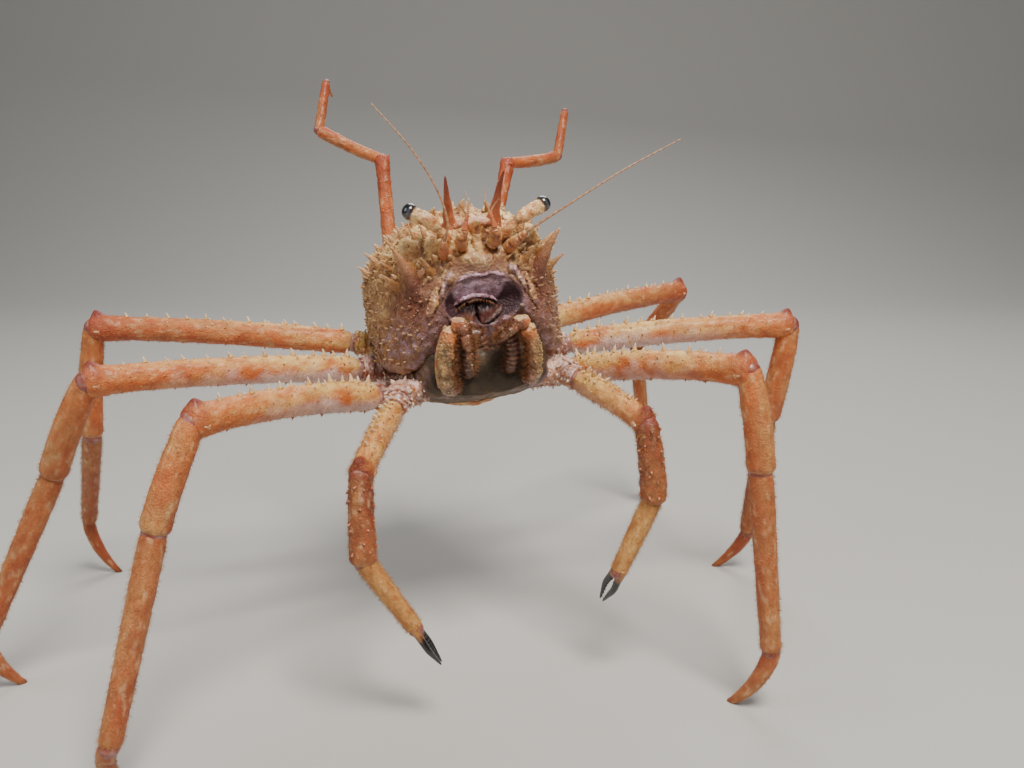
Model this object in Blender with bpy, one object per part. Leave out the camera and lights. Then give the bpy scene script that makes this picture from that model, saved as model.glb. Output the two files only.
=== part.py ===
"""A life-size still model of a Japanese deepwater carrier crab in a walking stance.

The crab stands on the points of six long legs, with both slender claws hanging in front and the
short rear pair of legs raised behind its back. Every plate, limb segment, eye and feeler that a
person would name is a solid of its own, set face to face with what it grows from.

Sizes are in millimetres. Each finished mesh is scaled to metres. The floor is at z = 0, x runs to
the crab's left, y to its rear and z up, with the origin on the floor under the middle of the model.
"""

import math
import random

import bmesh
import bpy
from mathutils import Euler, Matrix, Vector
from mathutils.bvhtree import BVHTree

MM = 0.001
GAP = 0.3
SEED = 23
SMOOTH_ANGLE = 40.0
ROOT_SINK = 1.3

# The body's place over the floor, and how it is turned: nose to the crab's left, nose up, left side up
BODY_HEIGHT = 160.9
BODY_YAW = 14.7
BODY_PITCH = 13.4
BODY_ROLL = 4.9

# Carapace outline seen from above, a superellipse about its widest place
HALF_WIDTH = 44.0
WIDEST_Y = 2.0
FRONT_REACH = 57.0
REAR_REACH = 52.5
PLAN_POWER = 2.2
FRONT_Y = -52.0
REAR_Y = 51.5

# Carapace heights above and below the body's middle
CROWN_Z = 45.0
CROWN_Y = -6.0
CROWN_DROP_FRONT = 12.0
CROWN_DROP_REAR = 17.0
SHOULDER_Z = 12.0
SHOULDER_Y = -15.0
SHOULDER_DROP_FRONT = 5.5
SHOULDER_RISE_REAR = 6.5
DOME_POWER = 0.92
RIDGE_RISE = 10.0
DOME_POINTS = 14

# The lower edge rises to the rear in steps over the roots of the legs: place along the body, height
LOWER_EDGE = ((-52.0, -2.0), (-44.0, -14.0), (-35.0, -23.0), (-26.0, -25.0), (-9.0, -23.5),
              (1.0, -13.0), (12.0, -9.5), (21.0, -0.5), (32.0, 2.5), (43.0, 8.0), (54.0, 15.0))
CARAPACE_RINGS = (-52, -49.5, -45, -39, -32, -24, -15, -6, 3, 12, 21, 30, 38, 44.5, 49, 51.5)

# Swollen regions of the back: x, y, spread in x, spread in y, height; x is mirrored
REGIONS = ((0.0, -26.0, 13.0, 11.0, 2.6), (22.0, -27.0, 7.0, 9.0, 2.2), (21.0, 16.0, 12.0, 18.0, 2.4),
           (0.0, 13.0, 8.0, 9.0, 2.4), (0.0, 36.0, 10.0, 8.0, 1.4))
# Grooves between them, as lines across the back: y on the middle line, sweep forward at the side, depth
CERVICAL_GROOVE = (-7.0, -10.0, 2.0)
GROOVE_WIDTH = 3.6

# Mouth recess under the arch of the face
MOUTH_CENTRE = Vector((0.0, -55.5, 0.5))
MOUTH_RADII = Vector((19.0, 11.5, 14.5))

# Thorax under the carapace: half width and underside along the body
THORAX_RINGS = (-40, -33, -24, -14, -4, 6, 16, 26, 36, 45, 52)
THORAX_HALF_WIDTH = 31.0
THORAX_UNDERSIDE = ((-40.0, -39.0), (-24.0, -42.0), (-4.0, -42.0), (12.0, -39.0), (26.0, -29.0),
                    (40.0, -15.0), (52.0, -3.0))

# Abdomen folded under the thorax: y, z and half thickness from the carapace's rear edge to its tip
ABDOMEN_PATH = ((54.5, 12.5, 2.4), (57.0, 3.0, 2.6), (51.0, -8.0, 3.0), (40.0, -19.0, 3.3),
                (26.0, -32.0, 3.5), (10.0, -41.0, 3.0), (-4.0, -42.4, 2.3), (-12.0, -42.2, 1.5))
ABDOMEN_BREADTH = 4.8

# Long spines of the face and shoulders: root, tip and root radius; x is mirrored
PSEUDOROSTRAL_SPINE = ((9.6, -47.5, 34.0), (12.5, -67.0, 52.5), 3.3)
ROSTRUM_SPINE = ((0.0, -49.0, 31.5), (0.0, -61.5, 33.5), 3.4)
SUBHEPATIC_SPINE = ((26.5, -42.0, 9.0), (37.0, -55.0, 28.0), 5.2)
FACE_SPINES = (((27.5, -36.0, 29.5), (31.0, -38.5, 38.5), 2.4),
               ((38.0, -20.0, 23.5), (44.5, -22.5, 30.5), 2.4),
               ((41.0, -9.0, 20.0), (47.0, -11.0, 26.0), 2.0),
               ((19.5, -44.5, 29.2), (23.0, -46.0, 38.5), 1.8),
               ((34.0, -36.0, 12.0), (41.5, -43.5, 18.0), 2.2),
               ((21.0, -48.5, 16.0), (25.5, -56.0, 22.0), 1.8),
               ((17.0, -49.5, 9.0), (19.5, -55.0, 11.0), 1.5))
# Spines on the back: x, y, length; x is mirrored
BACK_SPINES = ((0.0, -36.0, 5.5), (12.0, -31.0, 6.0), (7.0, -20.0, 4.5), (20.0, -22.0, 5.5),
               (0.0, -12.0, 4.5), (30.0, -24.0, 5.0), (15.0, -11.0, 4.0), (28.0, -10.0, 4.5),
               (7.0, 6.0, 3.5), (20.0, 2.0, 3.5), (31.0, 5.0, 4.0), (5.0, 18.0, 3.2),
               (17.0, 15.0, 3.2), (28.0, 18.0, 3.2), (12.0, 29.0, 2.8), (24.0, 30.0, 2.8),
               (4.0, 41.0, 2.6), (15.0, 41.0, 2.4))
SIDE_SPINE_COUNT = 8
SIDE_SPINE_LENGTH = (4.6, 2.2)
WALL_SPINULE_ROWS = 4
WALL_SPINULE_LENGTH = 2.1

# Legs, numbered from the claws: root in the body, half height of the segments and their lengths
HIPS = {1: Vector((37.0, -27.0, -33.0)), 2: Vector((37.4, -4.2, -33.9)), 3: Vector((38.5, 7.3, -21.3)),
        4: Vector((37.1, 23.1, -9.5)), 5: Vector((23.0, 57.0, 7.0))}
COXA_REACH = {1: 11.0, 2: 13.0, 3: 13.0, 4: 13.0, 5: 8.0}
MERUS_HALF = {1: 5.5, 2: 6.4, 3: 6.0, 4: 5.8, 5: 4.2}
CARPUS_HALF = {1: 5.6, 2: 5.7, 3: 5.7, 4: 5.2, 5: 3.3}
PROPODUS_HALF = {1: 4.5, 2: 5.0, 3: 4.9, 4: 4.4, 5: 2.8}
DACTYLUS_HALF = {1: 2.3, 2: 3.7, 3: 3.6, 4: 3.3, 5: 1.5}
CARPUS_LENGTH = {1: 34.6, 2: 41.9, 3: 50.8, 4: 56.1, 5: 37.0}
PROPODUS_LENGTH = {1: 37.7, 2: 78.9, 3: 81.4, 4: 93.5, 5: 27.0}
DACTYLUS_LENGTH = {1: 19.3, 2: 34.5, 3: 33.5, 4: 36.9, 5: 11.0}
MERUS_BOW = {1: 1.5, 2: 3.0, 3: 2.0, 4: 1.5, 5: 0.5}
MERUS_SPINES = {1: 7, 2: 12, 3: 13, 4: 12, 5: 0}
MERUS_SPINE_LENGTH = {1: 3.2, 2: 3.6, 3: 3.0, 4: 2.6, 5: 0.0}
LIMB_BREADTH = 0.88
FOOT_RADIUS = 1.3
FOOT_SINK = 1.1

# Stance of each limb: the knee, from the point of floor under the middle of the body, then the
# azimuth from +x toward +y and the elevation of the carpus and of the propodus, in degrees, and
# the azimuth of the dactylus. The dactylus of a walking leg slopes just enough to touch the floor.
STANCE = {
    (1, "right"): ((-36, -90, 110), (-82, -78), (13, -58), (2, -57)),
    (2, "right"): ((-94, -112, 138), (-134, -64), (-123, -70), (106, None)),
    (3, "right"): ((-147, -77, 145), (154, -58), (-168, -64), (57, None)),
    (4, "right"): ((-171, -11, 155), (143, -77), (120, -46), (22, None)),
    (5, "right"): ((-45, 72, 231), (174, 24), (74, 66), (80, -35)),
    (1, "left"): ((81, -61, 123), (15, -82), (175, -68), (135, -61)),
    (2, "left"): ((121, -71, 148), (-36, -79), (-50, -82), (149, None)),
    (3, "left"): ((162, 18, 151), (135, -80), (86, -67), (148, None)),
    (4, "left"): ((124, 115, 154), (120, -44), (45, -80), (85, None)),
    (5, "left"): ((22, 97, 229), (39, 5), (64, 68), (100, -35)),
}
SIDES = {"left": 1.0, "right": -1.0}

# Eyes and feelers on the face
EYESTALKS = {
    "left": (Vector((11.0, -50.0, 27.5)), Vector((19.0, -56.5, 33.2)), Vector((29.2, -54.5, 38.0))),
    "right": (Vector((-11.0, -50.0, 27.5)), Vector((-17.5, -56.5, 34.2)), Vector((-25.3, -54.5, 40.2))),
}
EYESTALK_RADII = (2.0, 1.7, 2.7)
EYE_RADIUS = 3.5
EYE_OUT = 1.9
ANTENNULE_PATH = ((6.4, -50.0, 24.4, 2.3), (7.4, -56.8, 26.6, 2.7), (6.6, -61.0, 30.5, 1.7),
                  (4.6, -63.5, 36.0, 0.7), (3.6, -63.5, 41.5, 0.5), (4.2, -62.5, 46.5, 0.3))
ANTENNA_LEFT = ((13.5, -49.0, 22.0, 2.6), (15.0, -55.0, 23.5, 2.4), (18.0, -60.0, 25.5, 1.7),
                (22.0, -64.0, 28.0, 0.7), (40.0, -69.5, 36.5, 0.55), (62.0, -74.5, 46.5, 0.45),
                (87.0, -79.0, 56.0, 0.3))
ANTENNA_RIGHT = ((-13.5, -49.0, 22.0, 2.6), (-15.0, -55.0, 23.5, 2.4), (-15.5, -61.5, 27.0, 1.7),
                 (-14.0, -66.0, 33.5, 0.7), (-17.0, -68.5, 47.0, 0.55), (-25.5, -70.0, 64.0, 0.45),
                 (-38.5, -69.5, 83.0, 0.3))
MAXILLIPED_LEFT = ((16.5, -38.0, -34.5, 3.8), (18.2, -46.5, -33.0, 4.2), (18.5, -52.5, -22.0, 4.3),
                   (15.0, -57.0, -11.0, 3.9), (7.5, -59.0, -13.5, 3.0), (0.5, -58.5, -17.0, 1.6))
MAXILLIPED_RIGHT = ((-16.5, -38.0, -34.5, 3.8), (-19.5, -46.5, -33.0, 4.2), (-20.0, -52.5, -21.0, 4.3),
                    (-15.8, -57.0, -8.0, 3.9), (-11.5, -59.5, -15.0, 2.9), (-10.5, -56.5, -28.0, 1.6))
MAXILLIPED_ROOT_Y = -40.0

ORANGE = (0.66, 0.25, 0.09)
PALE_ORANGE = (0.72, 0.38, 0.18)
TAN = (0.60, 0.36, 0.20)
OLIVE = (0.40, 0.29, 0.12)
BLACK = (0.03, 0.03, 0.035)


def collection(name):
    """A new collection in the scene."""
    made = bpy.data.collections.new(name)
    bpy.context.scene.collection.children.link(made)
    return made


def material(name, color, roughness=0.55):
    """A shell finish of one colour for one piece."""
    made = bpy.data.materials.new(name)
    made.use_nodes = True
    shader = made.node_tree.nodes["Principled BSDF"]
    shader.inputs["Base Color"].default_value = (*color, 1.0)
    shader.inputs["Roughness"].default_value = roughness
    shader.inputs["Metallic"].default_value = 0.0
    return made


def mesh_object(name, mesh, where):
    """An object for a mesh, in the given collection."""
    made = bpy.data.objects.new(name, mesh)
    where.objects.link(made)
    return made


def heading(azimuth, elevation):
    """Unit vector from an azimuth and an elevation in degrees."""
    turn, lift = math.radians(azimuth), math.radians(elevation)
    level = math.cos(lift)
    return Vector((math.cos(turn) * level, math.sin(turn) * level, math.sin(lift)))


def along(points, place):
    """Value at a place on a line through (place, value) points."""
    for (low, first), (high, second) in zip(points, points[1:]):
        if place <= high:
            share = max(0.0, (place - low) / (high - low))
            return first + (second - first) * share
    return points[-1][1]


def tube(points, radii, sides=8, weld=0.001):
    """A closed round tube through points, with a radius at each, as a mesh of its own."""
    curve = bpy.data.curves.new("tube", "CURVE")
    curve.dimensions = "3D"
    curve.bevel_depth = 1.0
    curve.bevel_resolution = (sides - 4) // 2
    curve.use_fill_caps = True
    spline = curve.splines.new("POLY")
    spline.points.add(len(points) - 1)
    for knot, point, radius in zip(spline.points, points, radii):
        knot.co = (*point, 1.0)
        knot.radius = radius
    guide = mesh_object("tube", curve, bpy.context.scene.collection)
    depsgraph = bpy.context.evaluated_depsgraph_get()
    mesh = bpy.data.meshes.new_from_object(guide.evaluated_get(depsgraph))
    bpy.data.objects.remove(guide)
    bpy.data.curves.remove(curve)
    work = bmesh.new()
    work.from_mesh(mesh)
    bmesh.ops.remove_doubles(work, verts=work.verts, dist=weld)
    bmesh.ops.recalc_face_normals(work, faces=work.faces)
    work.to_mesh(mesh)
    work.free()
    return mesh


def loft(rings):
    """A closed solid through rings of equally many points, capped at both ends."""
    work = bmesh.new()
    rows = [[work.verts.new(point) for point in ring] for ring in rings]
    count = len(rows[0])
    for near, far in zip(rows, rows[1:]):
        for i in range(count):
            j = (i + 1) % count
            work.faces.new((near[i], near[j], far[j], far[i]))
    work.faces.new(rows[0])
    work.faces.new(rows[-1])
    bmesh.ops.recalc_face_normals(work, faces=work.faces)
    mesh = bpy.data.meshes.new("loft")
    work.to_mesh(mesh)
    work.free()
    return mesh


def ball(centre, radii, segments=14, rings=8):
    """An ellipsoid mesh."""
    work = bmesh.new()
    bmesh.ops.create_uvsphere(work, u_segments=segments, v_segments=rings, radius=1.0)
    place = Matrix.Translation(centre) @ Matrix.Diagonal((*radii, 1.0))
    bmesh.ops.transform(work, matrix=place, verts=work.verts)
    mesh = bpy.data.meshes.new("ball")
    work.to_mesh(mesh)
    work.free()
    return mesh


def slice_off(mesh, point, normal):
    """Cut away the part of a closed mesh that lies beyond a plane, and close the cut."""
    work = bmesh.new()
    work.from_mesh(mesh)
    geometry = work.verts[:] + work.edges[:] + work.faces[:]
    cut = bmesh.ops.bisect_plane(work, geom=geometry, dist=0.0001, plane_co=point, plane_no=normal,
                                 clear_outer=True)
    rim = [item for item in cut["geom_cut"] if isinstance(item, bmesh.types.BMEdge)]
    if rim:
        bmesh.ops.edgeloop_fill(work, edges=rim)
    bmesh.ops.recalc_face_normals(work, faces=work.faces)
    work.to_mesh(mesh)
    work.free()


def keep_largest(mesh):
    """Drop every loose shell of a mesh but the one with the largest box."""
    work = bmesh.new()
    work.from_mesh(mesh)
    bmesh.ops.remove_doubles(work, verts=work.verts, dist=0.005)
    bmesh.ops.dissolve_degenerate(work, edges=work.edges, dist=0.002)
    waiting = set(work.verts)
    shells = []
    while waiting:
        front = [waiting.pop()]
        shell = set(front)
        while front:
            vert = front.pop()
            for edge in vert.link_edges:
                other = edge.other_vert(vert)
                if other in waiting:
                    waiting.discard(other)
                    shell.add(other)
                    front.append(other)
        shells.append(shell)

    def box_size(shell):
        spans = [[vert.co[axis] for vert in shell] for axis in range(3)]
        return math.prod(max(span) - min(span) + 0.001 for span in spans)

    shells.sort(key=box_size)
    for shell in shells[:-1]:
        bmesh.ops.delete(work, geom=list(shell), context="VERTS")
    work.to_mesh(mesh)
    work.free()


def boolean(body, pieces, operation):
    """Join a collection of closed pieces to a body, or cut them from it, and remove them."""
    modifier = body.modifiers.new("boolean", "BOOLEAN")
    modifier.operation = operation
    modifier.operand_type = "COLLECTION"
    modifier.collection = pieces
    modifier.solver = "EXACT"
    bpy.context.view_layer.update()
    depsgraph = bpy.context.evaluated_depsgraph_get()
    mesh = bpy.data.meshes.new_from_object(body.evaluated_get(depsgraph))
    body.modifiers.remove(modifier)
    body.data = mesh
    keep_largest(mesh)
    for piece in list(pieces.objects):
        bpy.data.objects.remove(piece)


def surface(mesh):
    """A search tree of a mesh's surface."""
    work = bmesh.new()
    work.from_mesh(mesh)
    tree = BVHTree.FromBMesh(work)
    work.free()
    return tree


def spine(root, tip, radius, pieces, sides=5):
    """A tapered spine whose foot is sunk below its root."""
    root, tip = Vector(root), Vector(tip)
    axis = (tip - root).normalized()
    foot = root - axis * ROOT_SINK
    work = bmesh.new()
    bmesh.ops.create_cone(work, cap_ends=True, segments=sides, radius1=radius, radius2=radius * 0.12,
                          depth=(tip - foot).length)
    turn = axis.to_track_quat("Z", "Y").to_matrix().to_4x4()
    place = Matrix.Translation((foot + tip) / 2) @ turn
    bmesh.ops.transform(work, matrix=place, verts=work.verts)
    mesh = bpy.data.meshes.new("spine")
    work.to_mesh(mesh)
    work.free()
    mesh_object("spine", mesh, pieces)


def spine_on(tree, near, length, radius, lean, pieces):
    """A spine on the surface point nearest to a place, leaning from the surface's normal."""
    root, normal, _, _ = tree.find_nearest(Vector(near))
    direction = (normal + Vector(lean)).normalized()
    spine(root, root + direction * length, radius, pieces)


def finish(name, body, color, parent, roughness=0.55):
    """Name a node, scale its mesh to metres, shade it and give it its own material."""
    body.name = name
    mesh = body.data
    mesh.name = name
    mesh.transform(Matrix.Scale(MM, 4))
    mesh.materials.clear()
    mesh.materials.append(material(name + "_shell", color, roughness))
    mesh.shade_smooth()
    mesh.set_sharp_from_angle(angle=math.radians(SMOOTH_ANGLE))
    body.parent = parent


def plan_half_width(y):
    """Half width of the carapace at a place along the body."""
    reach = FRONT_REACH if y < WIDEST_Y else REAR_REACH
    share = min(1.0, abs(y - WIDEST_Y) / reach)
    return HALF_WIDTH * (1.0 - share ** PLAN_POWER) ** (1.0 / PLAN_POWER)


def crown_height(y):
    """Height of the back on its middle line, without its swellings."""
    if y < CROWN_Y:
        return CROWN_Z - CROWN_DROP_FRONT * ((CROWN_Y - y) / (CROWN_Y - FRONT_Y)) ** 2
    return CROWN_Z - CROWN_DROP_REAR * ((y - CROWN_Y) / (REAR_Y - CROWN_Y)) ** 2


def shoulder_height(y):
    """Height at which the side wall turns into the back."""
    if y < SHOULDER_Y:
        return SHOULDER_Z - SHOULDER_DROP_FRONT * ((SHOULDER_Y - y) / (SHOULDER_Y - FRONT_Y)) ** 2
    return SHOULDER_Z + SHOULDER_RISE_REAR * ((y - SHOULDER_Y) / (REAR_Y - SHOULDER_Y)) ** 2


def relief(x, y):
    """Swellings and the groove of the back."""
    height = 0.0
    for centre_x, centre_y, spread_x, spread_y, rise in REGIONS:
        for sign in (1.0, -1.0) if centre_x else (1.0,):
            along_x = (x - sign * centre_x) / spread_x
            along_y = (y - centre_y) / spread_y
            height += rise * math.exp(-along_x ** 2 - along_y ** 2)
    middle, sweep, depth = CERVICAL_GROOVE
    line = middle + sweep * (x / HALF_WIDTH) ** 2
    return height - depth * math.exp(-((y - line) / GROOVE_WIDTH) ** 2)


def carapace_ring(y, grow=0.0):
    """Cross section of the carapace: a flat lower side, side walls and a domed back."""
    half = plan_half_width(y) + grow
    low = along(LOWER_EDGE, y) - grow
    shoulder = shoulder_height(y)
    crown = crown_height(y) + grow
    wall = [(0.90, 0.0), (0.985, 0.10), (1.0, 0.38), (1.0, 0.72)]
    right = [Vector((half * out, y, low + (shoulder - low) * up)) for out, up in wall]
    dome = []
    for i in range(DOME_POINTS + 1):
        turn = math.pi * i / DOME_POINTS
        lean = math.cos(turn)
        x = half * math.copysign(abs(lean) ** DOME_POWER, lean)
        rise = max(0.0, math.sin(turn)) ** DOME_POWER
        dome.append(Vector((x, y, shoulder + (crown - shoulder + relief(x, y)) * rise)))
    left = [Vector((-point.x, y, point.z)) for point in reversed(right)]
    return right + dome + left


def carapace_block(grow=0.0):
    """The plain carapace, or a slightly larger one to cut its neighbours clear."""
    rings = [carapace_ring(y, grow) for y in CARAPACE_RINGS]
    if grow:
        rings[0] = [point + Vector((0.0, -grow, 0.0)) for point in rings[0]]
        rings[-1] = [point + Vector((0.0, grow, 0.0)) for point in rings[-1]]
    return loft(rings)


def carapace_spines(tree, pieces):
    """All spines of the carapace, largest on the face and smallest on the side walls."""
    chance = random.Random(SEED)
    spine(*ROSTRUM_SPINE, pieces)
    for sign in (1.0, -1.0):
        for root, tip, radius in (PSEUDOROSTRAL_SPINE, SUBHEPATIC_SPINE) + FACE_SPINES:
            flip = Vector((sign, 1.0, 1.0))
            spine(Vector(root) * flip, Vector(tip) * flip, radius, pieces, sides=6)
    for x, y, length in BACK_SPINES:
        for sign in (1.0, -1.0) if x else (1.0,):
            spine_on(tree, (sign * x, y, 60.0 - abs(x)), length, 0.34 * length, (0.0, -0.35, 0.1), pieces)
    for i in range(SIDE_SPINE_COUNT):
        share = i / (SIDE_SPINE_COUNT - 1)
        y = 2.0 + 44.0 * share
        length = SIDE_SPINE_LENGTH[0] + (SIDE_SPINE_LENGTH[1] - SIDE_SPINE_LENGTH[0]) * share
        for sign in (1.0, -1.0):
            near = (sign * (plan_half_width(y) + 4.0), y, shoulder_height(y) + RIDGE_RISE)
            spine_on(tree, near, length, 0.36 * length, (0.0, -0.3, 0.35), pieces)
    for row in range(WALL_SPINULE_ROWS):
        up = 0.15 + 0.19 * row
        for i in range(9):
            y = -38.0 + 9.0 * i + 4.5 * (row % 2) + chance.uniform(-1.2, 1.2)
            low = along(LOWER_EDGE, y)
            z = low + (shoulder_height(y) + RIDGE_RISE - low) * up + chance.uniform(-1.0, 1.0)
            length = WALL_SPINULE_LENGTH * chance.uniform(0.8, 1.2)
            for sign in (1.0, -1.0):
                near = (sign * (plan_half_width(y) + 4.0), y, z)
                spine_on(tree, near, length, 0.85, (0.0, -0.3, 0.3), pieces)


def make_carapace(body_frame, parts, pieces):
    """The shield with its mouth recess, rostrum and spines."""
    carapace = mesh_object("carapace", carapace_block(), parts)
    mesh_object("mouth", ball(MOUTH_CENTRE, MOUTH_RADII), pieces)
    boolean(carapace, pieces, "DIFFERENCE")
    carapace_spines(surface(carapace.data), pieces)
    boolean(carapace, pieces, "UNION")
    finish("carapace", carapace, TAN, body_frame)


def thorax_ring(y, grow=0.0):
    """Cross section of the thorax: a flat upper side under the carapace and a rounded underside."""
    half = min(THORAX_HALF_WIDTH, 0.80 * plan_half_width(y)) + grow
    top = along(LOWER_EDGE, y) - 1.6 * GAP
    under = along(THORAX_UNDERSIDE, y) - grow
    points = [Vector((half, y, top)), Vector((half, y, top + (under - top) * 0.35))]
    count = 8
    for i in range(count + 1):
        turn = math.pi * i / count
        lean = math.cos(turn)
        x = half * math.copysign(abs(lean) ** DOME_POWER, lean)
        rise = max(0.0, math.sin(turn)) ** DOME_POWER
        points.append(Vector((x, y, top + (under - top) * (0.55 + 0.45 * rise))))
    points.append(Vector((-half, y, top + (under - top) * 0.35)))
    points.append(Vector((-half, y, top)))
    return points


def hip_in_body(number, side):
    """Root of a leg in the body's own frame."""
    hip = HIPS[number].copy()
    hip.x *= SIDES[side]
    return hip


def make_thorax(body_frame, to_body, parts, pieces):
    """The thorax with the ten leg roots that grow from it, cut clear of the carapace."""
    thorax = mesh_object("thorax", loft([thorax_ring(y) for y in THORAX_RINGS]), parts)
    for (number, side), (knee, *_) in STANCE.items():
        hip = hip_in_body(number, side)
        reach = (to_body @ Vector(knee) - hip).normalized()
        half = MERUS_HALF[number]
        inner = Vector((hip.x * 0.55, min(hip.y, 48.0), hip.z - 0.5))
        outer = hip + reach * COXA_REACH[number]
        mesh = tube((inner, hip, hip + reach * (COXA_REACH[number] - 3.0), outer),
                    (half * 0.9, half * 0.95, half * 0.98, half * 0.86))
        mesh_object("coxa", mesh, pieces)
    boolean(thorax, pieces, "UNION")
    mesh_object("clearance", carapace_block(GAP), pieces)
    boolean(thorax, pieces, "DIFFERENCE")
    finish("thorax", thorax, OLIVE, body_frame)


def make_abdomen(body_frame, parts, pieces):
    """The flat abdomen, folded under the thorax and cut to lie against it."""
    points = [Vector((0.0, y, z)) for y, z, _ in ABDOMEN_PATH]
    mesh = tube(points, [half for _, _, half in ABDOMEN_PATH], sides=10)
    mesh.transform(Matrix.Diagonal((ABDOMEN_BREADTH, 1.0, 1.0, 1.0)))
    abdomen = mesh_object("abdomen", mesh, parts)
    grown = loft([thorax_ring(y + (y > 50.0) * GAP, GAP) for y in THORAX_RINGS])
    mesh_object("clearance", grown, pieces)
    mesh_object("clearance", carapace_block(GAP), pieces)
    boolean(abdomen, pieces, "DIFFERENCE")
    finish("abdomen", abdomen, PALE_ORANGE, body_frame)


def make_face(body_frame, parts, pieces):
    """Eyes on their stalks, the two pairs of feelers and the outer mouth limbs."""
    for side, sign in SIDES.items():
        flip = Vector((sign, 1.0, 1.0))
        root, waist, end = EYESTALKS[side]
        outward = (end - waist).normalized()
        stalk = tube((root, waist, end - outward * 3.0, end + outward), (*EYESTALK_RADII, EYESTALK_RADII[2]))
        slice_off(stalk, end - outward * GAP / 2, outward)
        feeler = ANTENNA_LEFT if side == "left" else ANTENNA_RIGHT
        antennule = [(Vector(row[:3]) * flip, row[3]) for row in ANTENNULE_PATH]
        maxilliped = MAXILLIPED_LEFT if side == "left" else MAXILLIPED_RIGHT
        meshes = {
            "eyestalk": (stalk, TAN),
            "antennule": (tube(*zip(*antennule)), ORANGE),
            "antenna": (tube(*zip(*[(Vector(row[:3]), row[3]) for row in feeler])), TAN),
            "maxilliped": (tube(*zip(*[(Vector(row[:3]), row[3]) for row in maxilliped])), OLIVE),
        }
        slice_off(meshes["maxilliped"][0], Vector((0.0, MAXILLIPED_ROOT_Y - GAP, 0.0)), Vector((0, 1, 0)))
        for kind, (mesh, color) in meshes.items():
            made = mesh_object(kind, mesh, parts)
            mesh_object("clearance", carapace_block(GAP), pieces)
            boolean(made, pieces, "DIFFERENCE")
            finish(f"{kind}_{side}", made, color, body_frame)
        cornea = ball(end + outward * EYE_OUT, Vector((EYE_RADIUS,) * 3))
        slice_off(cornea, end + outward * GAP / 2, -outward)
        finish(f"eye_{side}", mesh_object("eye", cornea, parts), BLACK, body_frame, 0.08)


def limb_frame(start, direction, upward):
    """Matrix of a limb segment: x along it, z to its upper side."""
    side = upward.cross(direction).normalized()
    top = direction.cross(side).normalized()
    turn = Matrix((direction, side, top)).transposed().to_4x4()
    return Matrix.Translation(start) @ turn


def segment_mesh(length, profile, bow, before, beyond):
    """A bowed and tapered segment along x that runs past both of its joints."""
    shares = [share for share, _ in profile]
    points, radii = [], []
    for share, half in profile:
        x = share * length
        x -= before if share == shares[0] else 0.0
        x += beyond if share == shares[-1] else 0.0
        points.append(Vector((x, 0.0, bow * 4.0 * share * (1.0 - share))))
        radii.append(half)
    mesh = tube(points, radii)
    mesh.transform(Matrix.Diagonal((1.0, LIMB_BREADTH, 1.0, 1.0)))
    return mesh


def cut_joint(mesh, frame, joint, inward, outward, keep_before):
    """Cut a segment on the plane that halves the bend at a joint."""
    normal = (inward + outward).normalized()
    if not keep_before:
        normal = -normal
    plane_point = joint - normal * GAP / 2
    back = frame.inverted()
    slice_off(mesh, back @ plane_point, back.to_3x3() @ normal)


def merus_spines(tree, number, start, length, pieces):
    """The dorsal row of pale spines, two side rows of smaller ones and the tooth over the knee."""
    chance = random.Random(SEED + number)
    half = MERUS_HALF[number]
    count = MERUS_SPINES[number]
    tall = MERUS_SPINE_LENGTH[number]
    first, last = start + 4.0, length - 14.0
    for i in range(count):
        share = i / (count - 1)
        x = first + (last - first) * share
        size = tall * (0.75 if i % 2 else 1.0) * chance.uniform(0.9, 1.1) * (1.0 - 0.3 * share)
        near = (x, chance.uniform(-0.5, 0.5), half + 6.0)
        spine_on(tree, near, size, 0.36 * size, (0.35, 0.0, 0.0), pieces)
    for y in (1.0, -1.0):
        for i in range(count // 2):
            x = first + 3.0 + (last - first) * (i + 0.5) / (count // 2)
            near = (x, y * half, half * 0.7)
            spine_on(tree, near, 0.55 * tall, 0.24 * tall, (0.3, 0.0, 0.4), pieces)
    tooth_root = Vector((length - 6.5, 0.0, half * 0.85))
    spine(tooth_root, tooth_root + Vector((3.5, 0.0, 5.5)), 2.3, pieces, sides=6)


def claw_spines(tree, number, length, half, rows, pieces):
    """Rows of small spines along a claw's segment."""
    tall = 0.8 * MERUS_SPINE_LENGTH[number]
    for turn in (-50.0, 0.0, 50.0):
        lean = math.radians(turn)
        for i in range(rows):
            x = length * (0.18 + 0.62 * i / (rows - 1))
            near = (x, (half + 4.0) * math.sin(lean), (half + 4.0) * math.cos(lean))
            spine_on(tree, near, tall, 0.36 * tall, (0.3, 0.0, 0.0), pieces)


def taper(half, *scales):
    """Profile of a segment: equal steps along it and the half height at each."""
    return [(i / (len(scales) - 1), half * scale) for i, scale in enumerate(scales)]


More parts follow.
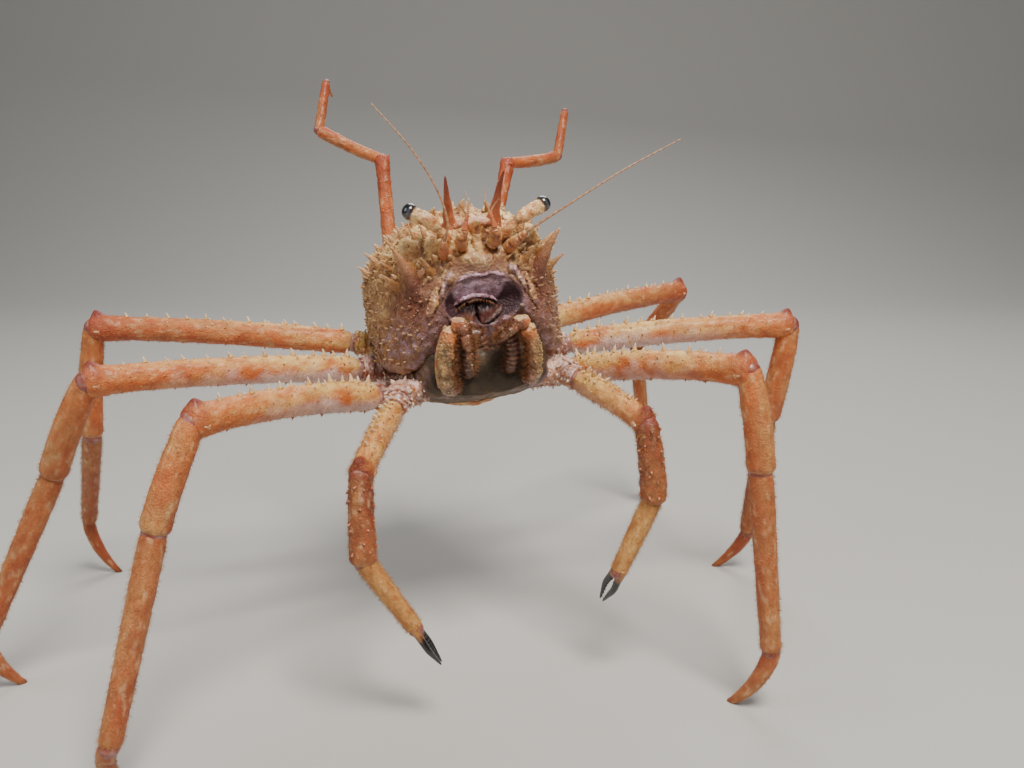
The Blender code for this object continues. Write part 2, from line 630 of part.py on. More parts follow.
def make_limb(number, side, crab, to_world, parts, pieces):
    """One whole limb beyond its root: merus, carpus, propodus or palm, and dactylus or finger."""
    knee, carpus_turn, propodus_turn, tip_turn = STANCE[number, side]
    kind = "cheliped" if number == 1 else f"leg_{number}"
    hip = to_world @ hip_in_body(number, side)
    knee = Vector(knee)
    merus_way = (knee - hip).normalized()
    merus_length = (knee - hip).length
    carpus_way = heading(*carpus_turn)
    wrist = knee + carpus_way * CARPUS_LENGTH[number]
    propodus_way = heading(*propodus_turn)
    heel = wrist + propodus_way * PROPODUS_LENGTH[number]
    dactylus_length = DACTYLUS_LENGTH[number]
    azimuth, elevation = tip_turn
    if elevation is None:
        elevation = -math.degrees(math.asin((heel.z + FOOT_SINK) / dactylus_length))
    dactylus_way = heading(azimuth, elevation)
    outside = Vector((merus_way.x, merus_way.y, 0.3 if number < 5 else -0.3))

    start = COXA_REACH[number] + GAP
    half = MERUS_HALF[number]
    frame = limb_frame(hip, merus_way, Vector((0, 0, 1)) if number < 5 else outside * -1)
    mesh = segment_mesh(merus_length, taper(half, 0.96, 1.02, 1.03, 1.0, 0.97, 1.04, 1.06),
                        MERUS_BOW[number], 0.0, 9.0)
    slice_off(mesh, Vector((start, 0, 0)), Vector((-1, 0, 0)))
    cut_joint(mesh, frame, knee, merus_way, carpus_way, True)
    merus = mesh_object("merus", mesh, parts)
    if MERUS_SPINES[number]:
        merus_spines(surface(mesh), number, start, merus_length, pieces)
        boolean(merus, pieces, "UNION")
    finish(f"{kind}_merus_{side}", merus, ORANGE, crab)
    merus.matrix_local = scaled(frame)

    half = CARPUS_HALF[number]
    length = CARPUS_LENGTH[number]
    frame = limb_frame(knee, carpus_way, outside)
    mesh = segment_mesh(length, taper(half, 0.92, 1.0, 1.06, 1.04, 0.98), 1.2, 9.0, 6.0)
    cut_joint(mesh, frame, knee, merus_way, carpus_way, False)
    cut_joint(mesh, frame, wrist, carpus_way, propodus_way, True)
    carpus = mesh_object("carpus", mesh, parts)
    if number == 1:
        claw_spines(surface(mesh), number, length, half, 3, pieces)
        boolean(carpus, pieces, "UNION")
    finish(f"{kind}_carpus_{side}", carpus, ORANGE, crab)
    carpus.matrix_local = scaled(frame)

    half = PROPODUS_HALF[number]
    length = PROPODUS_LENGTH[number]
    frame = limb_frame(wrist, propodus_way, outside)
    name = "palm" if number == 1 else "propodus"
    mesh = segment_mesh(length, taper(half, 1.06, 1.04, 0.98, 0.92, 0.86), 0.0, 6.0, 6.0)
    cut_joint(mesh, frame, wrist, carpus_way, propodus_way, False)
    cut_joint(mesh, frame, heel, propodus_way, dactylus_way, True)
    propodus = mesh_object(name, mesh, parts)
    if number == 1:
        mesh_object("fixed_finger", finger_mesh(frame, heel, dactylus_way, -1.0), pieces)
        boolean(propodus, pieces, "UNION")
    finish(f"{kind}_{name}_{side}", propodus, ORANGE, crab)
    propodus.matrix_local = scaled(frame)

    if number == 1:
        mesh = finger_mesh(frame, heel, dactylus_way, 1.0)
        cut_joint(mesh, frame, heel, propodus_way, dactylus_way, False)
        dactylus = mesh_object("finger", mesh, parts)
        finish(f"{kind}_finger_{side}", dactylus, BLACK, crab, 0.35)
        dactylus.matrix_local = scaled(frame)
        return
    half = DACTYLUS_HALF[number]
    frame = limb_frame(heel, dactylus_way, -propodus_way if number == 5 else outside)
    tip = FOOT_RADIUS / half if number < 5 else 0.2
    mesh = segment_mesh(dactylus_length, taper(half, 1.05, 1.0, 0.85, 0.62, tip),
                        0.09 * dactylus_length, 5.0, 0.0)
    cut_joint(mesh, frame, heel, propodus_way, dactylus_way, False)
    if number < 5:
        back = frame.inverted()
        slice_off(mesh, back @ Vector((0, 0, 0)), back.to_3x3() @ Vector((0, 0, -1)))
    dactylus = mesh_object("dactylus", mesh, parts)
    finish(f"{kind}_dactylus_{side}", dactylus, ORANGE, crab)
    dactylus.matrix_local = scaled(frame)


def finger_mesh(frame, heel, finger_way, side):
    """A claw finger in the palm's own frame: the movable one on its upper side, the fixed one below."""
    back = frame.inverted()
    root = back @ heel
    way = back.to_3x3() @ finger_way
    length = DACTYLUS_LENGTH[1]
    half = DACTYLUS_HALF[1] * 0.8
    apart = Vector((0.0, 0.0, side * (half + 0.35)))
    bend = Vector((0.0, 0.0, side * 0.9))
    points = [root - way * 3.0 + apart, root + way * length * 0.5 + apart + bend,
              root + way * length + apart * 0.45]
    return tube(points, (half, half * 0.85, 0.4))


def scaled(frame):
    """A placement in millimetres as one in metres."""
    made = frame.copy()
    made.translation = frame.translation * MM
    return made


def centre_on_origin(crab, nodes):
    """Shift the whole crab so that the middle of its box stands over the origin."""
    bpy.context.view_layer.update()
    corners = [node.matrix_world @ vert.co for node in nodes for vert in node.data.vertices]
    middle_x = (min(point.x for point in corners) + max(point.x for point in corners)) / 2
    middle_y = (min(point.y for point in corners) + max(point.y for point in corners)) / 2
    crab.location = (-middle_x, -middle_y, 0.0)
    bpy.context.view_layer.update()


def main():
    for item in list(bpy.data.objects):
        bpy.data.objects.remove(item)
    parts = collection("carrier_crab")
    pieces = collection("joined_pieces")
    crab = mesh_object("crab_stance", None, parts)
    body_frame = mesh_object("crab_body", None, parts)
    body_frame.parent = crab
    body_frame.location = (0.0, 0.0, BODY_HEIGHT * MM)
    body_frame.rotation_mode = "YXZ"
    turn = [math.radians(angle) for angle in (-BODY_PITCH, -BODY_ROLL, BODY_YAW)]
    body_frame.rotation_euler = turn
    to_world = Matrix.Translation((0.0, 0.0, BODY_HEIGHT)) @ Euler(turn, "YXZ").to_matrix().to_4x4()
    make_carapace(body_frame, parts, pieces)
    make_thorax(body_frame, to_world.inverted(), parts, pieces)
    make_abdomen(body_frame, parts, pieces)
    make_face(body_frame, parts, pieces)
    for number, side in STANCE:
        make_limb(number, side, crab, to_world, parts, pieces)
    centre_on_origin(crab, [item for item in parts.objects if item.type == "MESH"])


main()
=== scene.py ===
# A deepwater carrier crab, standing as in the photograph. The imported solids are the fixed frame, and
# each visible piece below is built at their place, in millimetres first and then in metres.
import math
import random

import bpy
import numpy as np
from mathutils import Euler, Matrix, Vector, noise
from mathutils.bvhtree import BVHTree


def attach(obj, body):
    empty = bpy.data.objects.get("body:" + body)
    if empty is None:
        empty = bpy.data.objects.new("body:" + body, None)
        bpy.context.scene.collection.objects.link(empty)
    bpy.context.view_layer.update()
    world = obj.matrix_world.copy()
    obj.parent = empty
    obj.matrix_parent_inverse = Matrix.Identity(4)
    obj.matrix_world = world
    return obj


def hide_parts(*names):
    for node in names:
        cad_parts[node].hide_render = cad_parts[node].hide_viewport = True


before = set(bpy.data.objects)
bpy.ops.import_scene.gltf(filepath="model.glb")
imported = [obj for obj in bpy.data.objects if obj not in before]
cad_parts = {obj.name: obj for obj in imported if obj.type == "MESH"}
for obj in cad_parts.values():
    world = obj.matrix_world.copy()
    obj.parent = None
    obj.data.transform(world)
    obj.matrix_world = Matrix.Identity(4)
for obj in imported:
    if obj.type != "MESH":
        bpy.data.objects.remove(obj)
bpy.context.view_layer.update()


# Studio: a pale matte floor that curves up into a plain backdrop, three soft lights from above and
# the camera at the photograph's low viewing angle. None of it belongs to the crab.
MM = 0.001
CAMERA_PLACE = (48.716, -473.77, 237.2)
CAMERA_DOWN = 13.8
CAMERA_LENS = 33.855
FLOOR_SIZE = 14.0
BACKDROP_Y = 1.9
BACKDROP_HEIGHT = 2.6
SWEEP_RADIUS, SWEEP_STEPS = 0.9, 14
bpy.ops.object.select_all(action="DESELECT")
bpy.ops.object.camera_add(
    location=[value * MM for value in CAMERA_PLACE], rotation=(math.radians(90.0 - CAMERA_DOWN), 0.0, 0.0))
camera = bpy.context.object
camera.data.lens = CAMERA_LENS
camera.data.sensor_width = 36.0
camera.data.clip_start = 0.02
bpy.context.scene.camera = camera

bpy.ops.mesh.primitive_plane_add(size=FLOOR_SIZE, location=(0.0, BACKDROP_Y - FLOOR_SIZE / 2, 0.0))
floor = bpy.context.object
floor.name = "studio_floor"
bpy.ops.object.mode_set(mode="EDIT")
bpy.ops.mesh.select_all(action="DESELECT")
bpy.ops.object.mode_set(mode="OBJECT")
for edge in floor.data.edges:
    ends = [floor.data.vertices[i].co.y for i in edge.vertices]
    edge.select = min(ends) > 0.0
bpy.ops.object.mode_set(mode="EDIT")
bpy.ops.mesh.select_mode(type="EDGE")
bpy.ops.mesh.extrude_region_move(TRANSFORM_OT_translate={"value": (0.0, 0.0, BACKDROP_HEIGHT)})
bpy.ops.object.mode_set(mode="OBJECT")
for edge in floor.data.edges:
    ends = [floor.data.vertices[i].co for i in edge.vertices]
    edge.select = min(end.y for end in ends) > 0.0 and max(end.z for end in ends) < 0.01
bpy.ops.object.mode_set(mode="EDIT")
bpy.ops.mesh.bevel(offset=SWEEP_RADIUS, segments=SWEEP_STEPS, profile=0.5)
bpy.ops.object.mode_set(mode="OBJECT")
bpy.ops.object.shade_smooth()
pale_floor = bpy.data.materials.new("pale_matte_floor")
pale_floor.use_nodes = True
floor_shader = pale_floor.node_tree.nodes["Principled BSDF"]
floor_shader.inputs["Base Color"].default_value = (0.50, 0.49, 0.47, 1.0)
floor_shader.inputs["Roughness"].default_value = 0.8
floor.data.materials.append(pale_floor)

LIGHT_AIM = (0.0, 0.0, 0.13)
ROOM_COLOR, ROOM_STRENGTH = (0.80, 0.84, 0.90, 1.0), 0.16
LIGHTS = (
    ((0.30, -0.62, 1.25), 0.45, 25.0, (1.0, 0.95, 0.87)),
    ((-0.95, -0.45, 0.75), 0.7, 3.6, (0.95, 0.97, 1.0)),
    ((0.15, 0.95, 1.05), 0.8, 9.0, (1.0, 0.98, 0.95)),
)
for place, size, power, color in LIGHTS:
    aim = (Vector(LIGHT_AIM) - Vector(place)).to_track_quat("-Z", "Y").to_euler()
    bpy.ops.object.light_add(type="AREA", location=place, rotation=aim)
    bpy.context.object.visible_camera = False
    lamp = bpy.context.object.data
    lamp.size = size
    lamp.energy = power
    lamp.color = color
room = bpy.data.worlds.new("studio_room")
room.use_nodes = True
room.node_tree.nodes["Background"].inputs["Color"].default_value = ROOM_COLOR
room.node_tree.nodes["Background"].inputs["Strength"].default_value = ROOM_STRENGTH
bpy.context.scene.world = room


# Carapace: one hard, deep shield, boxy in front and tapering behind, with swollen regions, grooves
# and granular side walls. It is limy shell, drawn here ring by ring from the solid's own outline,
# and the line that splits off the narrow flank runs along each side as on all crabs of this family.
BODY = Matrix.Translation((24.416, -18.87, 160.9)) @ Euler(
    [math.radians(angle) for angle in (-13.4, -4.9, 14.7)], "YXZ").to_matrix().to_4x4()
HALF_WIDTH, WIDEST_Y, FRONT_REACH, REAR_REACH, PLAN_POWER = 44.0, 2.0, 57.0, 52.5, 2.2
FRONT_Y, REAR_Y = -52.0, 51.5
CROWN_Z, CROWN_Y, CROWN_DROP_FRONT, CROWN_DROP_REAR = 45.0, -6.0, 12.0, 17.0
SHOULDER_Z, SHOULDER_Y, SHOULDER_DROP_FRONT, SHOULDER_RISE_REAR = 12.0, -15.0, 5.5, 6.5
RIDGE_RISE = 10.0
DOME_POWER = 0.92
LOWER_EDGE = ((-52.0, -2.0), (-44.0, -14.0), (-35.0, -23.0), (-26.0, -25.0), (-9.0, -23.5),
              (1.0, -13.0), (12.0, -9.5), (21.0, -0.5), (32.0, 2.5), (43.0, 8.0), (54.0, 15.0))
REGIONS = ((0.0, -26.0, 13.0, 11.0, 2.6), (22.0, -27.0, 7.0, 9.0, 2.2), (21.0, 16.0, 12.0, 18.0, 2.4),
           (0.0, 13.0, 8.0, 9.0, 2.4), (0.0, 36.0, 10.0, 8.0, 1.4))
SHIELD_SIDES, SHIELD_RINGS, END_ROWS = 220, 236, 28
MOUTH_HALF_WIDTH, MOUTH_HALF_HEIGHT, MOUTH_Z, MOUTH_DEPTH, MOUTH_REACH = 19.0, 14.5, 0.5, 11.5, 55.5
FACE_Y = -40.0


def shell_color(red, green, blue):
    """A colour given in screen values from 0 to 255, as the linear values shaders use."""
    return np.array([((value / 255.0 + 0.055) / 1.055) ** 2.4 if value > 10 else value / 3294.6
                     for value in (red, green, blue)])


def blend(first, second, share):
    """Mix of two colours, or of two arrays of them, by a share from 0 to 1."""
    share = np.clip(share, 0.0, 1.0)[..., None] if isinstance(share, np.ndarray) else share
    return first * (1.0 - share) + second * share


def bell(distance):
    return np.exp(-np.square(distance))


def grain(points, size, seed=0.0, octaves=3):
    """Smooth noise from about -1 to 1 at each point, with features of the given size."""
    shift = Vector((seed * 7.31, seed * 3.17, seed * 5.53))
    return np.array([noise.fractal(Vector(point) / size + shift, 0.8, 2.0, octaves) for point in points])


def plan_half_width(y):
    share = np.minimum(0.999, np.abs(y - WIDEST_Y) / np.where(y < WIDEST_Y, FRONT_REACH, REAR_REACH))
    return HALF_WIDTH * (1.0 - share ** PLAN_POWER) ** (1.0 / PLAN_POWER)


def lower_edge(y):
    return np.interp(y, [row[0] for row in LOWER_EDGE], [row[1] for row in LOWER_EDGE])


def shoulder_height(y):
    front = SHOULDER_DROP_FRONT * ((y - SHOULDER_Y) / (SHOULDER_Y - FRONT_Y)) ** 2
    rear = SHOULDER_RISE_REAR * ((y - SHOULDER_Y) / (REAR_Y - SHOULDER_Y)) ** 2
    return SHOULDER_Z + np.where(y < SHOULDER_Y, -front, rear)


def crown_height(y):
    drop = np.where(y < CROWN_Y, CROWN_DROP_FRONT, CROWN_DROP_REAR)
    reach = np.where(y < CROWN_Y, CROWN_Y - FRONT_Y, REAR_Y - CROWN_Y)
    return CROWN_Z - drop * ((y - CROWN_Y) / reach) ** 2


def relief(x, y):
    """Swollen regions, and the grooves between them, on the back."""
    height = np.zeros_like(x)
    for centre_x, centre_y, spread_x, spread_y, rise in REGIONS:
        for sign in (1.0, -1.0) if centre_x else (1.0,):
            height += rise * bell(np.hypot((x - sign * centre_x) / spread_x, (y - centre_y) / spread_y))
    cervical = -7.0 - 10.0 * (x / HALF_WIDTH) ** 2
    height -= 2.6 * bell((y - cervical) / 2.6) * (0.55 + 0.45 * bell((np.abs(x) - 17.0) / 14.0))
    branchial = 9.0 + 0.17 * (y - 2.0)
    height -= 1.5 * bell((np.abs(x) - branchial) / 2.2) * bell((y - 13.0) / 17.0)
    gastric = 8.5 + 0.32 * (y + 33.0)
    return height - 1.2 * bell((np.abs(x) - gastric) / 1.9) * bell((y + 26.0) / 11.0)


def even_ring(x, y, z, count):
    """Points evenly spaced along a closed outline that lies across the body at y."""
    path = np.concatenate([[0.0], np.cumsum(np.hypot(np.diff(x), np.diff(z)))])
    even = np.linspace(0.0, path[-1], count, endpoint=False)
    return np.stack([np.interp(even, path, x), np.full(count, y), np.interp(even, path, z)], axis=1)


def shield_ring(y, count):
    """Cross section of the shield, evenly spaced round from the middle of its lower side."""
    half, low, shoulder, crown = (
        float(f(np.array(y))) for f in (plan_half_width, lower_edge, shoulder_height, crown_height))
    wall_out = np.array([0.90, 0.985, 1.0, 1.0])
    wall_up = np.array([0.0, 0.10, 0.38, 0.72])
    turn = np.linspace(0.0, math.pi, 61)
    lean = np.cos(turn)
    dome_x = half * np.sign(lean) * np.abs(lean) ** DOME_POWER
    rise = np.maximum(0.0, np.sin(turn)) ** DOME_POWER
    dome_z = shoulder + (crown - shoulder + relief(dome_x, np.full_like(dome_x, y))) * rise
    wall_z = low + (shoulder - low) * wall_up
    x = np.concatenate([[0.0], half * wall_out, dome_x, -half * wall_out[::-1], [0.0]])
    return even_ring(x, y, np.concatenate([[low], wall_z, dome_z, wall_z[::-1], [low]]), count)


def moulded(name, sides, rings, place):
    """A ball primitive whose rows are moved to a new shape: place gives the point for each row and side."""
    bpy.ops.object.select_all(action="DESELECT")
    bpy.ops.mesh.primitive_uv_sphere_add(segments=sides, ring_count=rings, radius=1.0)
    piece = bpy.context.object
    piece.name = piece.data.name = name
    points = np.empty(len(piece.data.vertices) * 3)
    piece.data.vertices.foreach_get("co", points)
    points = points.reshape(-1, 3)
    row = np.rint(np.arccos(np.clip(points[:, 2], -1.0, 1.0)) / math.pi * rings).astype(int)
    side = np.rint(np.arctan2(points[:, 1], points[:, 0]) / (2.0 * math.pi) * sides).astype(int) % sides
    piece.data.vertices.foreach_set("co", np.asarray(place(row, side), float).ravel())
    bpy.ops.object.mode_set(mode="EDIT")
    bpy.ops.mesh.select_all(action="SELECT")
    bpy.ops.mesh.normals_make_consistent(inside=False)
    bpy.ops.object.mode_set(mode="OBJECT")
    bpy.ops.object.shade_smooth()
    return piece


def capped(rings, end_rows, bulge):
    """Rings with both ends drawn together in a slightly rounded end."""
    first, last = rings[0].mean(axis=0), rings[-1].mean(axis=0)
    out = (first - last) / np.linalg.norm(first - last)
    shares = np.arange(end_rows) / end_rows
    nose = [first + (rings[0] - first) * s ** 0.8 + out * bulge * (1.0 - s * s) for s in shares]
    tail = [last + (rings[-1] - last) * s ** 0.8 - out * bulge * (1.0 - s * s) for s in shares[::-1]]
    return np.array(nose + list(rings) + tail)


def points_of(piece):
    points = np.empty(len(piece.data.vertices) * 3)
    piece.data.vertices.foreach_get("co", points)
    return points.reshape(-1, 3)


def normals_of(piece):
    normals = np.empty(len(piece.data.vertices) * 3)
    piece.data.vertex_normals.foreach_get("vector", normals)
    return normals.reshape(-1, 3)


def put(piece, points):
    piece.data.vertices.foreach_set("co", np.asarray(points, float).ravel())
    piece.data.update()


def paint(piece, colors):
    """Store the painted colour of each point for the material to read."""
    layer = piece.data.color_attributes.new("paint", "FLOAT_COLOR", "POINT")
    colors = np.clip(np.broadcast_to(colors, (len(piece.data.vertices), 3)), 0.0, 1.0)
    layer.data.foreach_set("color", np.concatenate([colors, np.ones((len(colors), 1))], axis=1).ravel())


def settle(piece, placement):
    """Bring a piece from millimetres in its own frame to metres in the crab's."""
    piece.data.transform(Matrix.Scale(MM, 4) @ placement)
    piece.data.update()


def shell_material(name, roughness, grain_size, depth, wet=0.3, speckle=0.22, glow=0.05):
    """Limy shell: the painted colour, mottled at two scales, with a fine granular surface."""
    made = bpy.data.materials.new(name)
    made.use_nodes = True
    tree = made.node_tree
    shader = tree.nodes["Principled BSDF"]
    shader.inputs["Roughness"].default_value = roughness
    shader.inputs["Coat Weight"].default_value = wet
    shader.inputs["Coat Roughness"].default_value = 0.22
    shader.inputs["Subsurface Weight"].default_value = glow
    shader.inputs["Subsurface Radius"].default_value = (0.004, 0.0016, 0.0008)
    shader.inputs["Subsurface Scale"].default_value = 0.6
    painted = tree.nodes.new("ShaderNodeAttribute")
    painted.attribute_name = "paint"
    place = tree.nodes.new("ShaderNodeTexCoord")
    color = painted.outputs["Color"]
    for size, strength, tint in (
            (7.0, speckle, (0.55, 0.40, 0.36)), (1.7, speckle * 1.3, (1.35, 1.30, 1.22))):
        cloud = tree.nodes.new("ShaderNodeTexNoise")
        cloud.inputs["Scale"].default_value = 1.0 / (size * MM)
        cloud.inputs["Detail"].default_value = 4.0
        ramp = tree.nodes.new("ShaderNodeMapRange")
        ramp.inputs["From Min"].default_value = 0.48
        ramp.inputs["From Max"].default_value = 0.72
        ramp.inputs["To Max"].default_value = strength * 2.2
        mix = tree.nodes.new("ShaderNodeMix")
        mix.data_type = "RGBA"
        mix.blend_type = "MULTIPLY"
        mix.inputs[7].default_value = (*tint, 1.0)
        tree.links.new(place.outputs["Object"], cloud.inputs["Vector"])
        tree.links.new(cloud.outputs["Fac"], ramp.inputs["Value"])
        tree.links.new(ramp.outputs["Result"], mix.inputs[0])
        tree.links.new(color, mix.inputs[6])
        color = mix.outputs[2]
    tree.links.new(color, shader.inputs["Base Color"])
    cells = tree.nodes.new("ShaderNodeTexVoronoi")
    cells.inputs["Scale"].default_value = 1.0 / (grain_size * MM)
    fine = tree.nodes.new("ShaderNodeTexNoise")
    fine.inputs["Scale"].default_value = 2.4 / (grain_size * MM)
    fine.inputs["Detail"].default_value = 5.0
    both = tree.nodes.new("ShaderNodeMath")
    both.operation = "SUBTRACT"
    bump = tree.nodes.new("ShaderNodeBump")
    bump.inputs["Strength"].default_value = 0.75
    bump.inputs["Distance"].default_value = depth * MM
    for source in (cells, fine):
        tree.links.new(place.outputs["Object"], source.inputs["Vector"])
    tree.links.new(fine.outputs["Fac"], both.inputs[0])
    tree.links.new(cells.outputs["Distance"], both.inputs[1])
    tree.links.new(both.outputs["Value"], bump.inputs["Height"])
    tree.links.new(bump.outputs["Normal"], shader.inputs["Normal"])
    return made


spread = np.linspace(0.0, 1.0, SHIELD_RINGS - 2 * END_ROWS + 1)
spread = 0.35 * spread + 0.65 * (0.5 - 0.5 * np.cos(math.pi * spread))
shield_rows = [shield_ring(FRONT_Y + (REAR_Y - FRONT_Y) * share, SHIELD_SIDES) for share in spread]
shield_table = capped(shield_rows, END_ROWS, 1.5)
shield = moulded("carapace_shield", SHIELD_SIDES, SHIELD_RINGS, lambda row, side: shield_table[row, side])

# Its surface is pressed in at the mouth, lined along each flank and roughened like the real shell
spots = points_of(shield)
outward = normals_of(shield)
x, y, z = spots.T
flank = np.abs(x) / np.maximum(plan_half_width(y), 1.0)
mouth_depth = MOUTH_DEPTH * np.sqrt(np.maximum(
    0.0, 1.0 - (x / MOUTH_HALF_WIDTH) ** 2 - ((z - MOUTH_Z) / MOUTH_HALF_HEIGHT) ** 2))
upper_fill = 0.38 * np.clip((z - 2.0) / 6.0, 0.0, 1.0)
middle_fill = 0.3 * bell(x / 9.0) * np.clip((z - 1.0) / 3.0, 0.0, 1.0)
mouth_depth *= 1.0 - upper_fill - middle_fill
recess = np.where(y < FACE_Y, np.maximum(0.0, mouth_depth - MOUTH_REACH - y) * (mouth_depth > 0.0), 0.0)
brow = 1.4 * bell((z - 18.5) / 3.0) * bell(x / 15.0) * (y < -44.0)
cheek_pit = -2.2 * bell((np.abs(x) - 21.0) / 5.5) * bell((z - 22.0) / 6.0) * (y < -40.0)
hepatic = 2.0 * bell((np.abs(x) - 27.0) / 7.0) * bell((z - 29.0) / 6.0) * bell((y + 38.0) / 10.0)
ridge = shoulder_height(y) + RIDGE_RISE
near_front = np.clip((-34.0 - y) / 6.0, 0.0, 1.0)
swellings = near_front * (
    bell((np.abs(x) - 18.2) / 2.9) * bell((z - 27.0) / 4.2)
    + bell((np.abs(x) - 27.0) / 3.6) * bell((z - 29.0) / 4.6))
furrow = near_front * bell((np.abs(x) - 22.6) / 1.5) * bell((z - 27.0) / 7.0)
hepatic += 2.3 * swellings - 2.2 * furrow
flank_line = -1.1 * bell((z - ridge + 3.0) / 0.8) * (flank > 0.72) * (y > -38.0)
back_share = np.clip((z - ridge) / 8.0, 0.0, 1.0)
face_top = np.clip((z - 16.0) / 10.0, 0.0, 1.0) * np.clip((-22.0 - y) / 10.0, 0.0, 1.0)
lumps = grain(spots, 9.0, 1.0, 4) * (0.75 + 0.35 * back_share)
lumps += grain(spots, 5.0, 6.0, 3) * (0.35 + 1.1 * face_top)
pustules = np.maximum(0.0, grain(spots, 2.3, 2.0, 2) - 0.12) * (1.0 + 0.5 * face_top)
shift = brow + cheek_pit + hepatic + flank_line + (lumps + pustules) * (1.0 - 0.6 * (recess > 0.5))
put(shield, spots + outward * shift[:, None] + np.array([0.0, 1.0, 0.0]) * recess[:, None])

TAN, CREAM, RUST = shell_color(172, 120, 68), shell_color(236, 200, 136), shell_color(144, 78, 50)
UMBER, MAUVE, LILAC = shell_color(84, 48, 30), shell_color(108, 72, 76), shell_color(182, 152, 172)
AMBER = shell_color(200, 112, 56)
spots, outward = points_of(shield), normals_of(shield)
x, y, z = spots.T
blotch = grain(spots, 13.0, 3.0, 3)
fine_blotch = grain(spots, 3.4, 4.0, 3)
front_share = np.clip((-outward[:, 1] - 0.35) / 0.45, 0.0, 1.0) * (y < -30.0)
colors = blend(TAN, AMBER, (0.35 + 0.9 * blotch) * (0.4 + 0.6 * back_share))
colors = blend(colors, shell_color(140, 98, 64), 0.65 * (1.0 - back_share))
# Lumps, pustules and the two swellings are painted cream, partly the shell's own cream and partly painted
# highlight, most on the back and the upper face. The furrow and the low ground between lumps get umber as
# painted shade.
cream_and_highlight_share = np.clip(0.2 + 1.1 * lumps + 0.8 * fine_blotch, 0.0, 0.9)
colors = blend(colors, CREAM, cream_and_highlight_share * (0.3 + 0.5 * back_share + 0.4 * face_top))
colors = blend(colors, CREAM, 0.75 * np.clip(pustules * 1.6, 0.0, 1.0))
colors = blend(blend(colors, CREAM, 0.8 * swellings), shell_color(104, 60, 36), 0.85 * furrow)
colors = blend(colors, UMBER, np.clip(-0.8 * lumps - 0.14, 0.0, 0.85) * (0.6 + 0.4 * face_top))
low_wall = np.clip((8.0 - z) / 18.0, 0.0, 1.0) * (1.0 - back_share)
# The lower walls are painted darker with umber as painted shade.
colors = blend(colors, UMBER, low_wall * (0.45 + 0.4 * fine_blotch))
colors = blend(colors, MAUVE, front_share * np.clip((14.0 - z) / 14.0, 0.0, 0.7))
colors = blend(colors, MAUVE, 0.9 * bell(x / 17.0) * bell((z - 6.0) / 12.0) * (y < -40.0))
colors = blend(colors, LILAC, 0.55 * low_wall * (y < -8.0) * np.clip(2.0 * fine_blotch, 0.0, 1.0))
# Between the cheek spine and the mouth, the shell's own brown is deepened as painted shade in that recess.
cheek_brown_and_shade = bell((np.abs(x) - 28.0) / 8.0) * bell((z - 5.0) / 14.0) * (y < -26.0)
colors = blend(colors, shell_color(122, 66, 42), cheek_brown_and_shade * np.clip(0.85 + 0.6 * blotch, 0.0, 1.0))
# The grooves between the swollen regions of the back are painted umber as painted shade.
colors = blend(colors, UMBER, np.clip(-0.8 * relief(x, y), 0.0, 0.6) * back_share)
plate = np.clip(recess / 2.0, 0.0, 1.0)
colors = blend(colors, blend(MAUVE, LILAC, 0.7 + 0.7 * fine_blotch), 0.9 * plate)
# Below the lower lip the mouth cavity is painted dark maroon as painted shade.
mouth_hollow_shade = np.clip((2.6 + 8.0 * np.clip((np.abs(x + 2.0) - 8.5) / 4.5, 0.0, 1.0) - z) / 3.0, 0.0, 0.97)
colors = blend(colors, shell_color(52, 14, 24), plate * mouth_hollow_shade)
paint(shield, colors)
carapace_shell = shell_material("granular_carapace_shell", 0.55, 1.15, 0.5)
shield.data.materials.append(carapace_shell)
shield_tree = BVHTree.FromPolygons(
    [tuple(point) for point in spots], [tuple(face.vertices) for face in shield.data.polygons])
settle(shield, BODY)
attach(shield, "root")
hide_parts("carapace")


# Carapace spines: drawn-out points of the same shell, sunk a little into the shield. The long ones of
# the face and shoulders are shaped one by one, and small cream spinules and beads cover the back and
# the flanks, each copied from one modelled spine.
PSEUDOROSTRAL_SPINE = ((9.6, -47.5, 34.0), (12.5, -67.0, 52.5), 3.3)
ROSTRUM_SPINE = ((0.0, -49.0, 31.5), (0.0, -61.5, 33.5), 3.4)
SUBHEPATIC_SPINE = ((26.5, -42.0, 9.0), (37.0, -55.0, 28.0), 5.2)
FACE_SPINES = (((27.5, -36.0, 29.5), (31.0, -38.5, 38.5), 2.4),
               ((38.0, -20.0, 23.5), (44.5, -22.5, 30.5), 2.4),
               ((41.0, -9.0, 20.0), (47.0, -11.0, 26.0), 2.0),
               ((19.5, -44.5, 29.2), (23.0, -46.0, 38.5), 1.8),
               ((34.0, -36.0, 12.0), (41.5, -43.5, 18.0), 2.2),
               ((21.0, -48.5, 16.0), (25.5, -56.0, 22.0), 1.8),
               ((17.0, -49.5, 9.0), (19.5, -55.0, 11.0), 1.5))
SMALL_FACE_SPINES = (
    ((23.5, -40.0, 30.0), (26.5, -42.5, 36.5), 1.5), ((31.5, -30.0, 28.0), (36.0, -32.0, 34.5), 1.5),
    ((14.5, -48.0, 30.0), (16.5, -54.0, 33.5), 1.3), ((30.0, -45.0, 20.0), (34.5, -52.0, 23.0), 1.4),
    ((35.0, -33.0, 20.0), (41.0, -37.5, 24.5), 1.5), ((12.0, -51.5, 17.5), (13.5, -55.5, 18.5), 1.1))
BACK_SPINES = ((0.0, -36.0, 5.5), (12.0, -31.0, 6.0), (7.0, -20.0, 4.5), (20.0, -22.0, 5.5),
               (0.0, -12.0, 4.5), (30.0, -24.0, 5.0), (15.0, -11.0, 4.0), (28.0, -10.0, 4.5),
               (7.0, 6.0, 3.5), (20.0, 2.0, 3.5), (31.0, 5.0, 4.0), (5.0, 18.0, 3.2),
               (17.0, 15.0, 3.2), (28.0, 18.0, 3.2), (12.0, 29.0, 2.8), (24.0, 30.0, 2.8),
               (4.0, 41.0, 2.6), (15.0, 41.0, 2.4))


